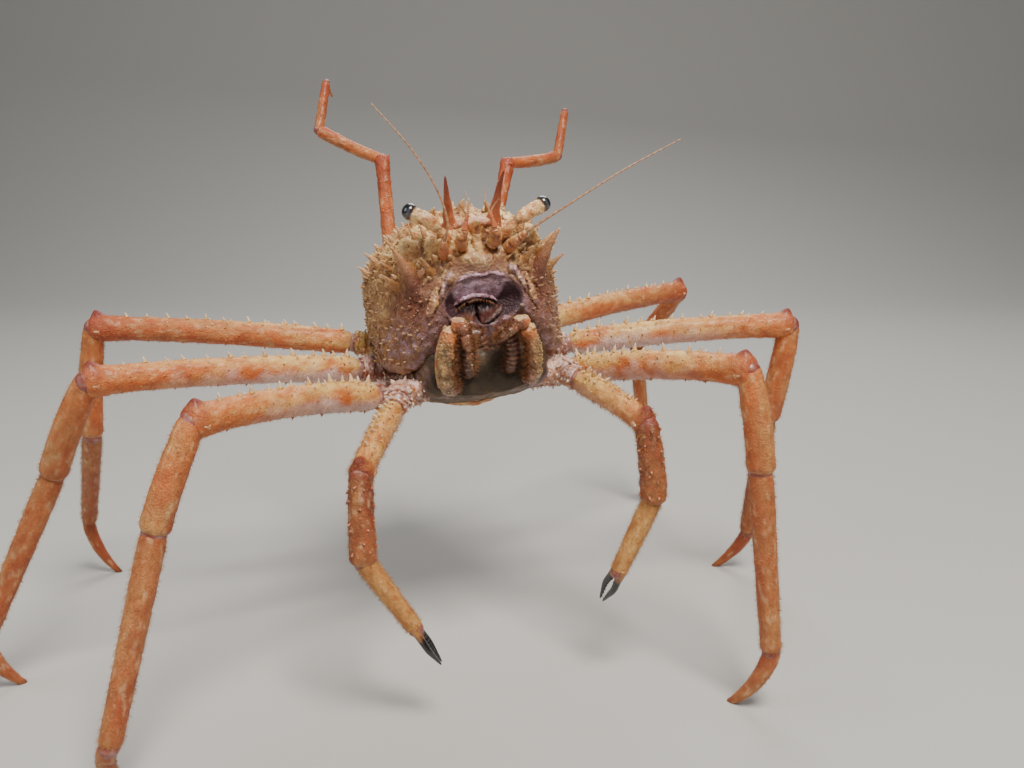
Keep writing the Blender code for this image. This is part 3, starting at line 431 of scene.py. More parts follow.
def modelled_spine(name, sides, rings, bend, foot=1.45, lump=0.0):
    """A spine one unit high with a flared foot, as points and faces to copy."""
    heights = np.linspace(1.0, 0.0, rings + 1) ** 1.25
    widths = np.interp(
        heights, (0.0, 0.01, 0.06, 0.14, 0.30, 0.60, 0.85, 0.97, 1.0),
        (0.0, foot, 0.5 + 0.5 * foot, 1.0, 0.78, 0.50, 0.26, 0.12, 0.0))

    def place(row, side):
        turn, up = side * 2.0 * math.pi / sides, heights[row]
        return np.stack([widths[row] * np.cos(turn), widths[row] * np.sin(turn), up], axis=1)

    model = moulded(name, sides, rings, place)
    spots, faces = points_of(model), [tuple(face.vertices) for face in model.data.polygons]
    spots[:, :2] *= 1.0 + lump * grain(spots * (1.0, 1.0, 4.0), 0.5, 9.0, 3)[:, None]
    bpy.data.objects.remove(model)
    return spots, faces, bend


def copies(name, model, spots):
    """One mesh of many copies: each spot has a root, a tip, a radius, a foot colour and a tip colour."""
    shape, faces, bend = model
    points, colors, polygons = [], [], []
    for count, (root, tip, radius, foot_color, tip_color) in enumerate(spots):
        axis = Vector(tip) - Vector(root)
        length = axis.length
        turn = np.array(axis.to_track_quat("Z", "Y").to_matrix())
        local = shape * (radius, radius, length)
        local[:, 1] -= bend * length * (shape[:, 2] ** 2 - shape[:, 2])
        points.append(local @ turn.T + np.array(root))
        colors.append(blend(
            np.array(foot_color)[None, :], np.array(tip_color)[None, :], shape[:, 2] * 1.25 - 0.25))
        start = count * len(shape)
        polygons += [tuple(index + start for index in face) for face in faces]
    mesh = bpy.data.meshes.new(name)
    mesh.from_pydata(np.concatenate(points).tolist(), [], polygons)
    mesh.shade_smooth()
    piece = bpy.data.objects.new(name, mesh)
    bpy.context.scene.collection.objects.link(piece)
    paint(piece, np.concatenate(colors))
    return piece


def seat(piece, model, tree):
    """Press the flared feet of copied spines onto the surface they grow from."""
    spots, heights = points_of(piece), model[0][:, 2]
    for i in range(len(spots)):
        height = heights[i % len(heights)]
        if height < 0.16:
            surface, normal, _, _ = tree.find_nearest(Vector(spots[i]))
            spots[i] += (np.array(surface - normal * 0.3) - spots[i]) * min(1.0, (0.16 - height) / 0.12)
    put(piece, spots)


def scattered(spots, allowed, gap, chance):
    """Indices of allowed points, drawn by chance, that stay at least a gap apart."""
    taken, kept = {}, []
    order = [i for i in range(len(spots)) if allowed[i]]
    chance.shuffle(order)
    for i in order:
        cell = tuple(int(math.floor(value / gap)) for value in spots[i])
        near = [taken[key] for key in ((cell[0] + a, cell[1] + b, cell[2] + c)
                for a in (-1, 0, 1) for b in (-1, 0, 1) for c in (-1, 0, 1)) if key in taken]
        if all(np.sum((spots[i] - spots[j]) ** 2) > gap * gap for j in near):
            taken[cell] = i
            kept.append(i)
    return kept


long_spine = modelled_spine("long_spine", 24, 30, 0.16, 2.1, 0.14)
small_spine = modelled_spine("small_spine", 7, 5, 0.12)
bead = modelled_spine("bead", 6, 3, 0.0)
PALE_TIP = shell_color(240, 208, 160)
chance = random.Random(23)
long_spots = [(*ROSTRUM_SPINE, AMBER, CREAM)]
for sign in (1.0, -1.0):
    flip = np.array((sign, 1.0, 1.0))
    long_spots.append((
        np.array(PSEUDOROSTRAL_SPINE[0]) * flip, np.array(PSEUDOROSTRAL_SPINE[1]) * flip,
        0.80 * PSEUDOROSTRAL_SPINE[2], shell_color(188, 104, 64), shell_color(136, 46, 30)))
    long_spots.append((
        np.array(SUBHEPATIC_SPINE[0]) * flip, np.array(SUBHEPATIC_SPINE[1]) * flip,
        0.74 * SUBHEPATIC_SPINE[2], shell_color(112, 60, 42), shell_color(214, 156, 108)))
    for root, tip, radius in FACE_SPINES + SMALL_FACE_SPINES:
        long_spots.append((
            np.array(root) * flip, np.array(tip) * flip, 0.85 * radius, TAN, shell_color(222, 176, 128)))
for x_place, y_place, length in BACK_SPINES:
    for sign in (1.0, -1.0) if x_place else (1.0,):
        root, normal, _, _ = shield_tree.find_nearest(Vector((sign * x_place, y_place, 60.0 - abs(x_place))))
        lean = (normal + Vector((0.0, -0.35, 0.1))).normalized()
        long_spots.append((root - lean * 0.6, root + lean * length, 0.36 * length, TAN, PALE_TIP))
shield_spines = copies("carapace_spines", long_spine, long_spots)
seat(shield_spines, long_spine, shield_tree)
spine_shell = shell_material("spine_shell", 0.5, 0.8, 0.42, wet=0.25)
shield_spines.data.materials.append(spine_shell)

wall = (back_share < 0.35) & (np.abs(outward[:, 0]) > 0.45)
shoulder_band = np.abs(z - ridge) < 4.5
upper = outward[:, 2] > -0.3
clear_of_mouth = (recess < 0.2) & ((np.abs(x) > 13.0) | (z > 26.0) | (y > -40.0))
spinule_spots = []
for allowed, gap, low, high in (
        (wall & upper & clear_of_mouth, 4.3, 1.2, 2.3),
        (shoulder_band & upper & clear_of_mouth, 4.8, 2.0, 3.4),
        ((back_share > 0.5) & clear_of_mouth, 4.6, 1.0, 2.0)):
    for i in scattered(spots, allowed, gap, chance):
        lean = outward[i] + np.array([chance.uniform(-0.2, 0.2), -0.3, 0.3])
        lean /= np.linalg.norm(lean)
        length = chance.uniform(low, high) * (1.25 - 0.5 * (y[i] + 52.0) / 104.0)
        length *= chance.choice((0.7, 1.0, 1.25))
        drift = Vector([chance.uniform(-1.2, 1.2) for _ in range(3)])
        place = np.array(shield_tree.find_nearest(Vector(spots[i]) + drift)[0])
        spinule_spots.append((
            place - lean * 0.3, place + lean * length, 0.32 * length + 0.14, colors[i],
            blend(colors[i], PALE_TIP, chance.uniform(0.35, 0.75))))
shield_spinules = copies("carapace_spinules", small_spine, spinule_spots)
shield_spinules.data.materials.append(spine_shell)
bead_spots = []
for i in scattered(spots, upper & clear_of_mouth, 1.75, chance):
    size = chance.uniform(0.32, 0.62)
    drift = Vector([chance.uniform(-0.8, 0.8) for _ in range(3)])
    place = np.array(shield_tree.find_nearest(Vector(spots[i]) + drift)[0])
    lift = outward[i] * size * chance.uniform(0.9, 1.7)
    tint = blend(colors[i], CREAM, chance.uniform(0.05, 0.5))
    bead_spots.append((place - outward[i] * 0.12, place + lift, size, colors[i], tint))
shield_beads = copies("carapace_beads", bead, bead_spots)
shield_beads.data.materials.append(carapace_shell)
for piece in (shield_spines, shield_spinules, shield_beads):
    settle(piece, BODY)
    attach(piece, "root")


# Eyes: long two-part stalks that lie across the front of the face, each ending in a thick cream
# segment that holds a dark, wet and glossy cornea. The stalk is thin shell, the cornea clear over
# black pigment.
EYESTALKS = {"left": ((11.0, -50.0, 27.5), (19.0, -56.5, 33.2), (29.2, -54.5, 38.0)),
             "right": ((-11.0, -50.0, 27.5), (-17.5, -56.5, 34.2), (-25.3, -54.5, 40.2))}
EYE_RADIUS, EYE_OUT = 3.6, 1.9
EYE_SIDES, EYE_ROWS = 48, 32
LINE_STEPS = 241


def smooth_line(points, count):
    """Evenly spaced points on a smooth curve through the given ones."""
    rows = np.array(points, float)
    rows = np.concatenate([[2 * rows[0] - rows[1]], rows, [2 * rows[-1] - rows[-2]]])
    made = []
    for i in range(1, len(rows) - 2):
        share = np.linspace(0.0, 1.0, 24, endpoint=i == len(rows) - 3)[:, None]
        a, b, c, d = rows[i - 1:i + 3]
        bend, twist = 2 * a - 5 * b + 4 * c - d, 3 * b - a - 3 * c + d
        made.append(0.5 * (2 * b + (c - a) * share + bend * share ** 2 + twist * share ** 3))
    made = np.concatenate(made)
    path = np.concatenate([[0.0], np.cumsum(np.linalg.norm(np.diff(made, axis=0), axis=1))])
    even = np.linspace(0.0, path[-1], count)
    return np.stack([np.interp(even, path, made[:, i]) for i in range(3)], axis=1)


def sleeve(name, points, girth, sides=24, rings=40, breadth=1.0, top=(0.0, 0.0, 1.0), cap=0.05):
    """A closed round body along a smooth line. Gives the piece, and for each point its share of the
    way along and the cosine of its turn from the upper side."""
    share = np.linspace(0.0, 1.0, rings + 1)
    share = 0.7 * share + 0.3 * (0.5 - 0.5 * np.cos(math.pi * share))
    line = smooth_line(points, LINE_STEPS)
    center = np.stack([np.interp(share, np.linspace(0.0, 1.0, LINE_STEPS), line[:, i]) for i in range(3)],
                      axis=1)
    forward = np.gradient(center, axis=0)
    forward /= np.linalg.norm(forward, axis=1)[:, None]
    beside = np.cross(np.broadcast_to(top, forward.shape), forward)
    beside /= np.linalg.norm(beside, axis=1)[:, None]
    above = np.cross(forward, beside)
    radius = np.interp(share, *zip(*girth))
    end = np.minimum(1.0, np.minimum(share, 1.0 - share) / cap)
    radius = radius * np.sqrt(np.maximum(0.0, end * (2.0 - end)))
    turns = np.arange(sides) * 2.0 * math.pi / sides

    def place(row, side):
        out = (beside[row] * (np.sin(turns[side]) * breadth)[:, None]
               + above[row] * np.cos(turns[side])[:, None])
        return center[row] + out * radius[row][:, None]

    piece = moulded(name, sides, rings, place)
    spots = points_of(piece)
    row = np.argmin(np.linalg.norm(spots[:, None, :] - center[None, :, :], axis=2), axis=1)
    away = spots - center[row]
    length = np.maximum(np.linalg.norm(away, axis=1), 1e-6)
    return piece, share[row], np.sum(away * above[row], axis=1) / length


def roughen(piece, size, height, seed, pock=0.0):
    """Raise a piece's surface into low lumps of the given size, with finer pustules on them."""
    spots = points_of(piece)
    rise = height * grain(spots, size, seed, 3)
    if pock:
        rise += pock * np.maximum(0.0, grain(spots, size * 0.28, seed + 5.0, 2) - 0.1)
    put(piece, spots + normals_of(piece) * rise[:, None])


def dress(piece, placement, slot_name, *nodes):
    """Bring a finished piece to its place, let it ride with the root and hide the solids it stands for."""
    settle(piece, placement)
    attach(piece, "root")
    if nodes:
        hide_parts(*nodes)


def paint_and_dress(piece, colors, material, placement, slot_name, *nodes):
    """Paint a piece, give it its material and bring it to its place."""
    paint(piece, colors)
    piece.data.materials.append(material)
    dress(piece, placement, slot_name, *nodes)


stalk_shell = shell_material("eyestalk_shell", 0.45, 0.7, 0.2, wet=0.4)
cornea_skin = bpy.data.materials.new("glossy_cornea")
cornea_skin.use_nodes = True
cornea_tree = cornea_skin.node_tree
cornea_shader = cornea_tree.nodes["Principled BSDF"]
cornea_shader.inputs["Roughness"].default_value = 0.2
cornea_shader.inputs["Coat Weight"].default_value = 1.0
cornea_shader.inputs["Coat Roughness"].default_value = 0.03
facets = cornea_tree.nodes.new("ShaderNodeTexVoronoi")
facets.inputs["Scale"].default_value = 1.0 / (0.16 * MM)
facet_bump = cornea_tree.nodes.new("ShaderNodeBump")
facet_bump.inputs["Strength"].default_value = 0.12
facet_bump.inputs["Distance"].default_value = 0.02 * MM
eye_color = cornea_tree.nodes.new("ShaderNodeAttribute")
eye_color.attribute_name = "paint"
object_place = cornea_tree.nodes.new("ShaderNodeTexCoord")
cornea_tree.links.new(object_place.outputs["Object"], facets.inputs["Vector"])
cornea_tree.links.new(facets.outputs["Distance"], facet_bump.inputs["Height"])
cornea_tree.links.new(facet_bump.outputs["Normal"], cornea_shader.inputs["Normal"])
cornea_tree.links.new(eye_color.outputs["Color"], cornea_shader.inputs["Base Color"])
for side_name, places in EYESTALKS.items():
    root, waist, end = (np.array(place) for place in places)
    axis = (end - waist) / np.linalg.norm(end - waist)
    near_root = root + (waist - root) * 0.45 + np.array((0.0, -1.4, -0.2))
    stalk, way, over = sleeve(
        f"eyestalk_{side_name}_shell",
        (root, near_root, waist, waist + (end - waist) * 0.45 + (0.0, -0.4, 0.4), end, end + axis),
        ((0.0, 2.4), (0.16, 2.1), (0.34, 1.7), (0.42, 1.75), (0.48, 2.3), (0.58, 2.8), (0.72, 2.9),
         (0.88, 3.15), (1.0, 2.8)),
        sides=48, rings=110, cap=0.04)
    roughen(stalk, 2.4, 0.34, 11.0, 0.55)
    tone, speck = grain(points_of(stalk), 3.2, 12.0, 3), grain(points_of(stalk), 1.1, 13.0, 2)
    colors = blend(shell_color(196, 128, 74), CREAM, np.clip(way * 1.1 - 0.3 + 0.8 * tone, 0, 0.85))
    # Brown mottling of the stalk, deepened on its underside as painted shade.
    colors = blend(colors, shell_color(120, 72, 44), 0.8 * np.clip(-0.3 - 1.1 * tone - 0.4 * over, 0.0, 1.0))
    colors = blend(colors, UMBER, 0.6 * bell((way - 0.44) / 0.035))
    paint_and_dress(stalk, blend(colors, PALE_TIP, np.clip(0.9 * speck - 0.1, 0.0, 0.6)), stalk_shell, BODY,
                    "carapace_shell", f"eyestalk_{side_name}")
    middle = end + axis * EYE_OUT
    turn_to = np.array(Vector(axis).to_track_quat("Z", "Y").to_matrix())
    tilt = np.linspace(0.0, math.pi, EYE_ROWS + 1)

    def cornea_place(row, side):
        round_ = side * 2.0 * math.pi / EYE_SIDES
        ball = np.stack([np.sin(tilt[row]) * np.cos(round_), np.sin(tilt[row]) * np.sin(round_),
                         np.cos(tilt[row]) * 0.92],
                        axis=1)
        return middle + EYE_RADIUS * ball @ turn_to.T

    cornea = moulded(f"eye_{side_name}_cornea", EYE_SIDES, EYE_ROWS, cornea_place)
    height_along = (points_of(cornea) - middle) @ axis / EYE_RADIUS
    # A pale grey band round the middle of the dark cornea is a painted sheen.
    colors = blend(shell_color(20, 22, 28), shell_color(120, 118, 122),
                   0.35 * bell((height_along - 0.02) / 0.16))
    paint_and_dress(cornea, blend(colors, shell_color(190, 150, 110), -4.0 * height_along - 1.2),
                    cornea_skin, BODY, "cornea", f"eye_{side_name}")


# Ten limbs: each is a chain of thin-walled shell tubes that meet in soft joint skin, with fine down on
# them. The long segment next to the body carries cream spines and a red tooth over the knee, and those
# beyond it are plainer. The joints stand where the solids' do, from the same stance.
SHIFT = np.array((24.416, -18.87, 0.0))
HIPS = {1: (37.0, -27.0, -33.0), 2: (37.4, -4.2, -33.9), 3: (38.5, 7.3, -21.3), 4: (37.1, 23.1, -9.5),
        5: (23.0, 57.0, 7.0)}
COXA_REACH = {1: 11.0, 2: 13.0, 3: 13.0, 4: 13.0, 5: 8.0}
MERUS_HALF = {1: 5.5, 2: 6.4, 3: 6.0, 4: 5.8, 5: 4.2}
CARPUS_HALF = {1: 5.6, 2: 5.7, 3: 5.7, 4: 5.2, 5: 3.3}
PROPODUS_HALF = {1: 4.5, 2: 5.0, 3: 4.9, 4: 4.4, 5: 2.8}
DACTYLUS_HALF = {1: 2.3, 2: 3.7, 3: 3.6, 4: 3.3, 5: 1.5}
CARPUS_LENGTH = {1: 34.6, 2: 41.9, 3: 50.8, 4: 56.1, 5: 37.0}
PROPODUS_LENGTH = {1: 37.7, 2: 78.9, 3: 81.4, 4: 93.5, 5: 27.0}
DACTYLUS_LENGTH = {1: 19.3, 2: 34.5, 3: 33.5, 4: 36.9, 5: 11.0}
MERUS_BOW = {1: 1.5, 2: 3.0, 3: 2.0, 4: 1.5, 5: 0.5}
MERUS_SPINES = {1: 9, 2: 13, 3: 14, 4: 13, 5: 9}
MERUS_SPINE_LENGTH = {1: 3.3, 2: 3.9, 3: 3.4, 4: 3.0, 5: 1.1}
LIMB_BREADTH = 0.88
FOOT_SINK = 1.1
DOWN_HAIRS = {"merus": 1600, "carpus": 1100, "propodus": 2600, "palm": 1300, "dactylus": 700}
HAIR_RADIUS, TUFT_SIZE = 0.085, 0.0015
STANCE = {
    (1, "right"): ((-36, -90, 110), (-82, -78), (13, -58), (2, -57)),
    (2, "right"): ((-94, -112, 138), (-134, -64), (-123, -70), (106, None)),
    (3, "right"): ((-147, -77, 145), (154, -58), (-168, -64), (57, None)),
    (4, "right"): ((-171, -11, 155), (143, -77), (120, -46), (22, None)),
    (5, "right"): ((-45, 72, 231), (174, 24), (74, 66), (80, -35)),
    (1, "left"): ((81, -61, 123), (15, -82), (175, -68), (135, -61)),
    (2, "left"): ((121, -71, 148), (-36, -79), (-50, -82), (149, None)),
    (3, "left"): ((162, 18, 151), (135, -80), (86, -67), (148, None)),
    (4, "left"): ((124, 115, 154), (120, -44), (45, -80), (85, None)),
    (5, "left"): ((22, 97, 229), (39, 5), (64, 68), (100, -35)),
}
ORANGE, DEEP_ORANGE = shell_color(200, 104, 42), shell_color(166, 70, 32)
BROWN_ORANGE, YELLOW_CREAM = shell_color(170, 86, 42), shell_color(234, 194, 114)
CLAW_OCHRE, CLAW_RED = shell_color(200, 134, 66), shell_color(118, 44, 28)
PALE_LILAC, SPINE_WHITE = shell_color(222, 192, 186), shell_color(236, 222, 204)
KNOB_COLORS = (shell_color(214, 150, 100), shell_color(242, 214, 170))
SPUR_COLORS = (shell_color(186, 84, 48), shell_color(168, 66, 44))
AS_BUILT = Matrix.Identity(4)
limb_shell = shell_material("limb_shell", 0.56, 0.85, 0.38, wet=0.16)
down_hair = shell_material("fine_down", 0.7, 0.5, 0.05, wet=0.0, glow=0.0)
joint_skin = shell_material("soft_joint_skin", 0.5, 0.5, 0.12, wet=0.5, glow=0.15)
downy_hair = modelled_spine("downy_hair", 3, 3, 0.25)
knee_knob = modelled_spine("knee_knob", 20, 18, 0.12, 1.35, 0.08)
merus_spine = modelled_spine("merus_spine", 9, 7, 0.18)
carpus_spine = modelled_spine("carpus_spine", 9, 7, 0.1)
finger_shell = shell_material("black_finger_shell", 0.3, 1.2, 0.04, wet=0.7, glow=0.0)


def heading(azimuth, elevation):
    """Unit vector from an azimuth and an elevation in degrees."""
    turn, lift = math.radians(azimuth), math.radians(elevation)
    return np.array((math.cos(turn) * math.cos(lift), math.sin(turn) * math.cos(lift), math.sin(lift)))


def upper_side(direction, upward):
    """Unit vector to a segment's upper side, square to the way it runs."""
    top = np.array(upward, float) - direction * np.dot(upward, direction)
    return top / np.linalg.norm(top)


def bowed(start, end, top, bow, steps=7):
    return [start + (end - start) * share + top * bow * 4.0 * share * (1.0 - share)
            for share in np.linspace(0.0, 1.0, steps)]


def tree_of(piece):
    return BVHTree.FromPolygons(
        [tuple(point) for point in points_of(piece)],
        [tuple(face.vertices) for face in piece.data.polygons])


def lay_tufts(piece, shape, places):
    """Give each hair of a joined piece a small patch of its OFBake map, at its root's place on the skin."""
    tufts = piece.data.uv_layers.new(name="OFBake")
    corner = np.empty(len(piece.data.loops), dtype=int)
    piece.data.loops.foreach_get("vertex_index", corner)
    patch = np.stack([shape[:, 0], shape[:, 2] - 0.5], axis=1)[corner % len(shape)] * TUFT_SIZE
    tufts.data.foreach_set("uv", (np.array(places)[corner // len(shape)] + patch).ravel())


def down_on(name, piece, way, over, count, low, high, chance, keep):
    """Short hairs on a piece, leaning to its far end, with their place on its unwrapped skin."""
    spots, normals = points_of(piece), normals_of(piece)
    forward = spots[np.argmax(way)] - spots[np.argmin(way)]
    forward = forward / np.linalg.norm(forward)
    made, places = [], []
    while len(made) < count:
        i = chance.randrange(len(spots))
        if chance.random() > keep(way[i], over[i]) or way[i] < 0.03 or way[i] > 0.97:
            continue
        drift = np.array([chance.uniform(-0.45, 0.45) for _ in range(3)])
        root = spots[i] + np.cross(normals[i], drift) * 1.2
        lean = normals[i] + forward * chance.uniform(0.2, 0.9) + drift * 0.5
        lean = lean / np.linalg.norm(lean)
        length = chance.uniform(low, high)
        tint = blend(BROWN_ORANGE, YELLOW_CREAM, chance.uniform(0.1, 0.6))
        made.append((root - normals[i] * 0.25, root + lean * length, HAIR_RADIUS, tint * 0.8, tint))
        turn = math.copysign(math.acos(max(-1, min(1, over[i]))) / math.pi, drift[0])
        places.append((0.02 + 0.96 * way[i], 0.5 + 0.48 * turn))
    hairs = copies(name, downy_hair, made)
    lay_tufts(hairs, downy_hair[0], places)
    hairs.data.materials.append(down_hair)
    return hairs


def toothed(piece, place, way, reach, height):
    """Draw a piece's skin out into a pointed tooth round one place."""
    spots = points_of(piece)
    near = np.clip(1.0 - np.linalg.norm(spots - place, axis=1) / reach, 0.0, 1.0)
    put(piece, spots + (height * near ** 1.15)[:, None] * way)
    return near


def limb_color(way, over, spots, base, tip, cream, seed):
    """Mottled orange: cream along the upper side near the body, redder to the tip, streaked lengthwise."""
    run = spots[np.argmax(way)] - spots[np.argmin(way)]
    run /= np.linalg.norm(run)
    drawn_out = spots - np.outer(spots @ run, run) * 0.62
    blotch, streak = grain(drawn_out, 7.0, seed, 3), grain(drawn_out, 2.2, seed + 3.0, 3)
    colors = blend(base, tip, way + 0.45 * blotch)
    colors = blend(colors, YELLOW_CREAM, np.clip(cream * (0.5 + 0.5 * over + 1.1 * blotch), 0.0, 0.9))
    colors = blend(colors, DEEP_ORANGE, np.clip(-1.0 * streak - 0.12, 0.0, 0.5))
    return blend(colors, PALE_TIP, np.clip(0.8 * streak - 0.22, 0.0, 0.32))


def widths(half, *rows):
    """A girth table from shares of the way along and widths as parts of half the full width."""
    return tuple((share, half * width) for share, width in rows)


def segment(name, start, end, top, bow, girth, seed, breadth=LIMB_BREADTH, rings=72, sides=36, cap=0.05,
            lump=0.28):
    """One limb segment with a lumpy, granular skin."""
    piece, way, over = sleeve(
        name, bowed(start, end, top, bow), girth, sides, rings, breadth, tuple(top), cap)
    roughen(piece, 4.5, lump, seed, lump * 1.1)
    return piece, way, over


for (number, side_name), (knee, carpus_turn, propodus_turn, tip_turn) in STANCE.items():
    sign = 1.0 if side_name == "left" else -1.0
    kind = "cheliped" if number == 1 else f"leg_{number}"
    chance = random.Random(100 * number + (side_name == "left"))
    seed = 20.0 + number * 2.0 + sign
    hip = np.array(BODY @ Vector((HIPS[number][0] * sign, *HIPS[number][1:])))
    knee = np.array(knee, float) + SHIFT
    merus_length = np.linalg.norm(knee - hip)
    merus_way = (knee - hip) / merus_length
    carpus_way = heading(*carpus_turn)
    wrist = knee + carpus_way * CARPUS_LENGTH[number]
    propodus_way = heading(*propodus_turn)
    heel = wrist + propodus_way * PROPODUS_LENGTH[number]
    length = DACTYLUS_LENGTH[number]
    azimuth, elevation = tip_turn
    if elevation is None:
        elevation = -math.degrees(math.asin((heel[2] + FOOT_SINK) / length))
    dactylus_way = heading(azimuth, elevation)
    outside = np.array((merus_way[0], merus_way[1], 0.3 if number < 5 else -0.3))

    # Merus, with its rows of spines and the tooth and knob over the knee
    half = MERUS_HALF[number]
    top = upper_side(merus_way, (0.0, 0.0, 1.0) if number < 5 else -outside)
    start = COXA_REACH[number] + 0.5
    merus, way, over = segment(
        f"{kind}_merus_{side_name}_shell", hip + merus_way * start, knee + merus_way * half * 0.55, top,
        MERUS_BOW[number],
        widths(half, (0.0, 0.92), (0.06, 1.0), (0.2, 1.04), (0.5, 1.0), (0.84, 0.96), (0.95, 1.08),
               (1.0, 1.04)),
        seed, rings=int(60 + merus_length), sides=48, cap=0.035 if number > 1 else 0.07)
    spots, merus_share, merus_over = points_of(merus), way, over
    if number < 5:
        tooth_place = hip + merus_way * (merus_length - 1.5) + top * half * 0.95
        tooth_share = toothed(
            merus, tooth_place, (top + 0.5 * merus_way) / 1.12, 2.4 + 0.2 * half, 1.4 + 0.38 * half)
    else:
        tooth_share = np.zeros(len(spots))
    colors = limb_color(
        way, over, spots, CLAW_OCHRE if number == 1 else ORANGE, DEEP_ORANGE if number > 3 else ORANGE,
        np.clip(1.1 - 1.0 * way, 0.0, 1.0) * (0.12 if number == 5 else 0.6 if number == 4 else 0.95), seed)
    if number < 4:
        pale = np.clip(0.3 - over + 0.9 * grain(spots, 9.0, seed + 7.0, 2), 0.0, 0.85)
        colors = blend(colors, PALE_LILAC,
                       pale * np.clip(1.6 - 2.0 * way, 0.0, 1.0) * (1.0 if number > 1 else 0.4))
    red_knee = np.clip(way * 9.0 - 8.0 + 0.3 * grain(spots, 3.0, seed + 8.0, 2), 0.0, 1.0)
    red_knee *= np.clip(0.6 + 0.6 * over, 0.0, 1.0)
    colors = blend(colors, shell_color(152, 58, 38), 0.7 * red_knee)
    colors = blend(colors, shell_color(122, 38, 28), np.clip(2.4 * tooth_share, 0.0, 0.95))
    if number == 1:
        colors = blend(colors, CLAW_RED, 0.85 * np.clip(way * 5.0 - 4.0, 0.0, 1.0))
    paint(merus, colors)
    merus.data.materials.append(limb_shell)
    skin = tree_of(merus)
    spine_spots, tall = [], MERUS_SPINE_LENGTH[number]
    many = MERUS_SPINES[number]
    rows = ((0.0, 1.05, many), (26.0, 0.5, many), (-26.0, 0.5, many), (62.0, 0.26, many),
            (-62.0, 0.26, many), (105.0, 0.2, many // 2), (-105.0, 0.2, many // 2),
            (160.0, 0.36, many // 2), (200.0, 0.36, many // 2))
    beside = np.cross(top, merus_way)
    for turn, scale, count in rows:
        for i in range(count):
            step = (i + 0.5 + chance.uniform(-0.22, 0.22)) / count
            along = start + 3.0 + (merus_length - 12.0 - start) * step ** 1.15
            angle = math.radians(turn + chance.uniform(-1.0, 1.0) * (4.0 if turn == 0.0 else 15.0))
            side_way = top * math.cos(angle) + beside * math.sin(angle)
            near = hip + merus_way * along + side_way * (half + 5.0)
            root, normal, _, _ = skin.find_nearest(Vector(near))
            lean = np.array(normal) + merus_way * chance.uniform(0.2, 0.45)
            lean = lean / np.linalg.norm(lean)
            size = tall * scale * (0.72 if i % 2 and not turn else 1.0) * chance.uniform(0.85, 1.15)
            size *= 1.15 - 0.5 * (along / merus_length)
            tip_color = SPINE_WHITE if scale > 0.45 else blend(ORANGE, YELLOW_CREAM, 0.6)
            pale_foot = scale > 0.45 or number == 1
            foot_color = blend(ORANGE, YELLOW_CREAM, 0.8) if pale_foot else shell_color(170, 88, 52)
            spine_spots.append((
                np.array(root) - lean * 0.4, np.array(root) + lean * size, 0.25 * size + 0.3, foot_color,
                tip_color))
    merus_spines = copies(f"{kind}_merus_{side_name}_spines", merus_spine, spine_spots)
    merus_spines.data.materials.append(spine_shell)
    knee_spots = []
    for turn in (-1.0, 1.0) if number < 5 else (0.5, -0.6):
        if number < 5:
            root = knee - merus_way * 2.6 + beside * turn * half * 0.74 - top * half * 0.10
            tip, tints = root + (merus_way * 0.8 + beside * turn * 0.5) * 2.3, KNOB_COLORS
        else:
            root = knee - merus_way * 2.2 + beside * turn * half + top * half * 0.5
            tip, tints = root + merus_way * 4.2 + beside * turn * 1.6 + top * 1.2, SPUR_COLORS
        knee_spots.append((root, tip, 1.4 if number < 5 else 1.2, *tints))
    part = "knobs" if number < 5 else "spurs"
    knee_points = copies(f"{kind}_merus_{side_name}_{part}", knee_knob, knee_spots)
    knee_points.data.materials.append(spine_shell)
    dress(knee_points, AS_BUILT, "limb_shell")
    dress(merus_spines, AS_BUILT, "limb_shell")

    # Carpus, plain on the legs and spiny on the claws
    half = CARPUS_HALF[number]
    top = upper_side(carpus_way, outside)
    carpus, way, over = segment(
        f"{kind}_carpus_{side_name}_shell", knee - carpus_way * half * 0.55,
        wrist + carpus_way * half * 0.35, top, 1.2,
        widths(half, (0.0, 0.86), (0.10, 0.95), (0.35, 1.03), (0.70, 1.06), (0.90, 1.08), (1.0, 0.98)),
        seed + 0.4, cap=0.08, lump=0.5 if number == 1 else 0.28)
    spots = points_of(carpus)
    first, second = (ORANGE, BROWN_ORANGE) if number > 1 else (CLAW_RED, BROWN_ORANGE * 0.85)
    colors = limb_color(way, over, spots, first, second, 0.2 if number > 1 else 0.1, seed + 1.0)
    near_knee = np.clip(1.0 - way * (9.0 if number > 1 else 6.0), 0.0, 1.0)
    colors = blend(colors, shell_color(122, 46, 32), 0.8 * near_knee)
    paint(carpus, blend(colors, PALE_TIP, 0.15 * bell((way - 0.955) / 0.014)))
    carpus.data.materials.append(limb_shell)
    if number == 1:
        skin, spine_spots, beside = tree_of(carpus), [], np.cross(top, carpus_way)
        for turn in (-110.0, -60.0, -15.0, 40.0, 90.0):
            for i in range(5):
                along = CARPUS_LENGTH[1] * (0.12 + 0.19 * (i + chance.uniform(-0.45, 0.45)))
                angle = math.radians(turn + chance.uniform(-20.0, 20.0))
                side_way = top * math.cos(angle) + beside * math.sin(angle)
                near = knee + carpus_way * along + side_way * (half + 5.0)
                root, normal, _, _ = skin.find_nearest(Vector(near))
                lean = (np.array(normal) + carpus_way * 0.3) / 1.05
                size = chance.uniform(0.6, 1.4)
                spine_spots.append((
                    np.array(root) - lean * 0.3, np.array(root) + lean * size, 0.4 * size + 0.3,
                    shell_color(160, 78, 48), shell_color(222, 170, 128)))
        carpus_spines = copies(f"cheliped_carpus_{side_name}_spines", carpus_spine, spine_spots)
        carpus_spines.data.materials.append(spine_shell)
        dress(carpus_spines, AS_BUILT, "limb_shell")

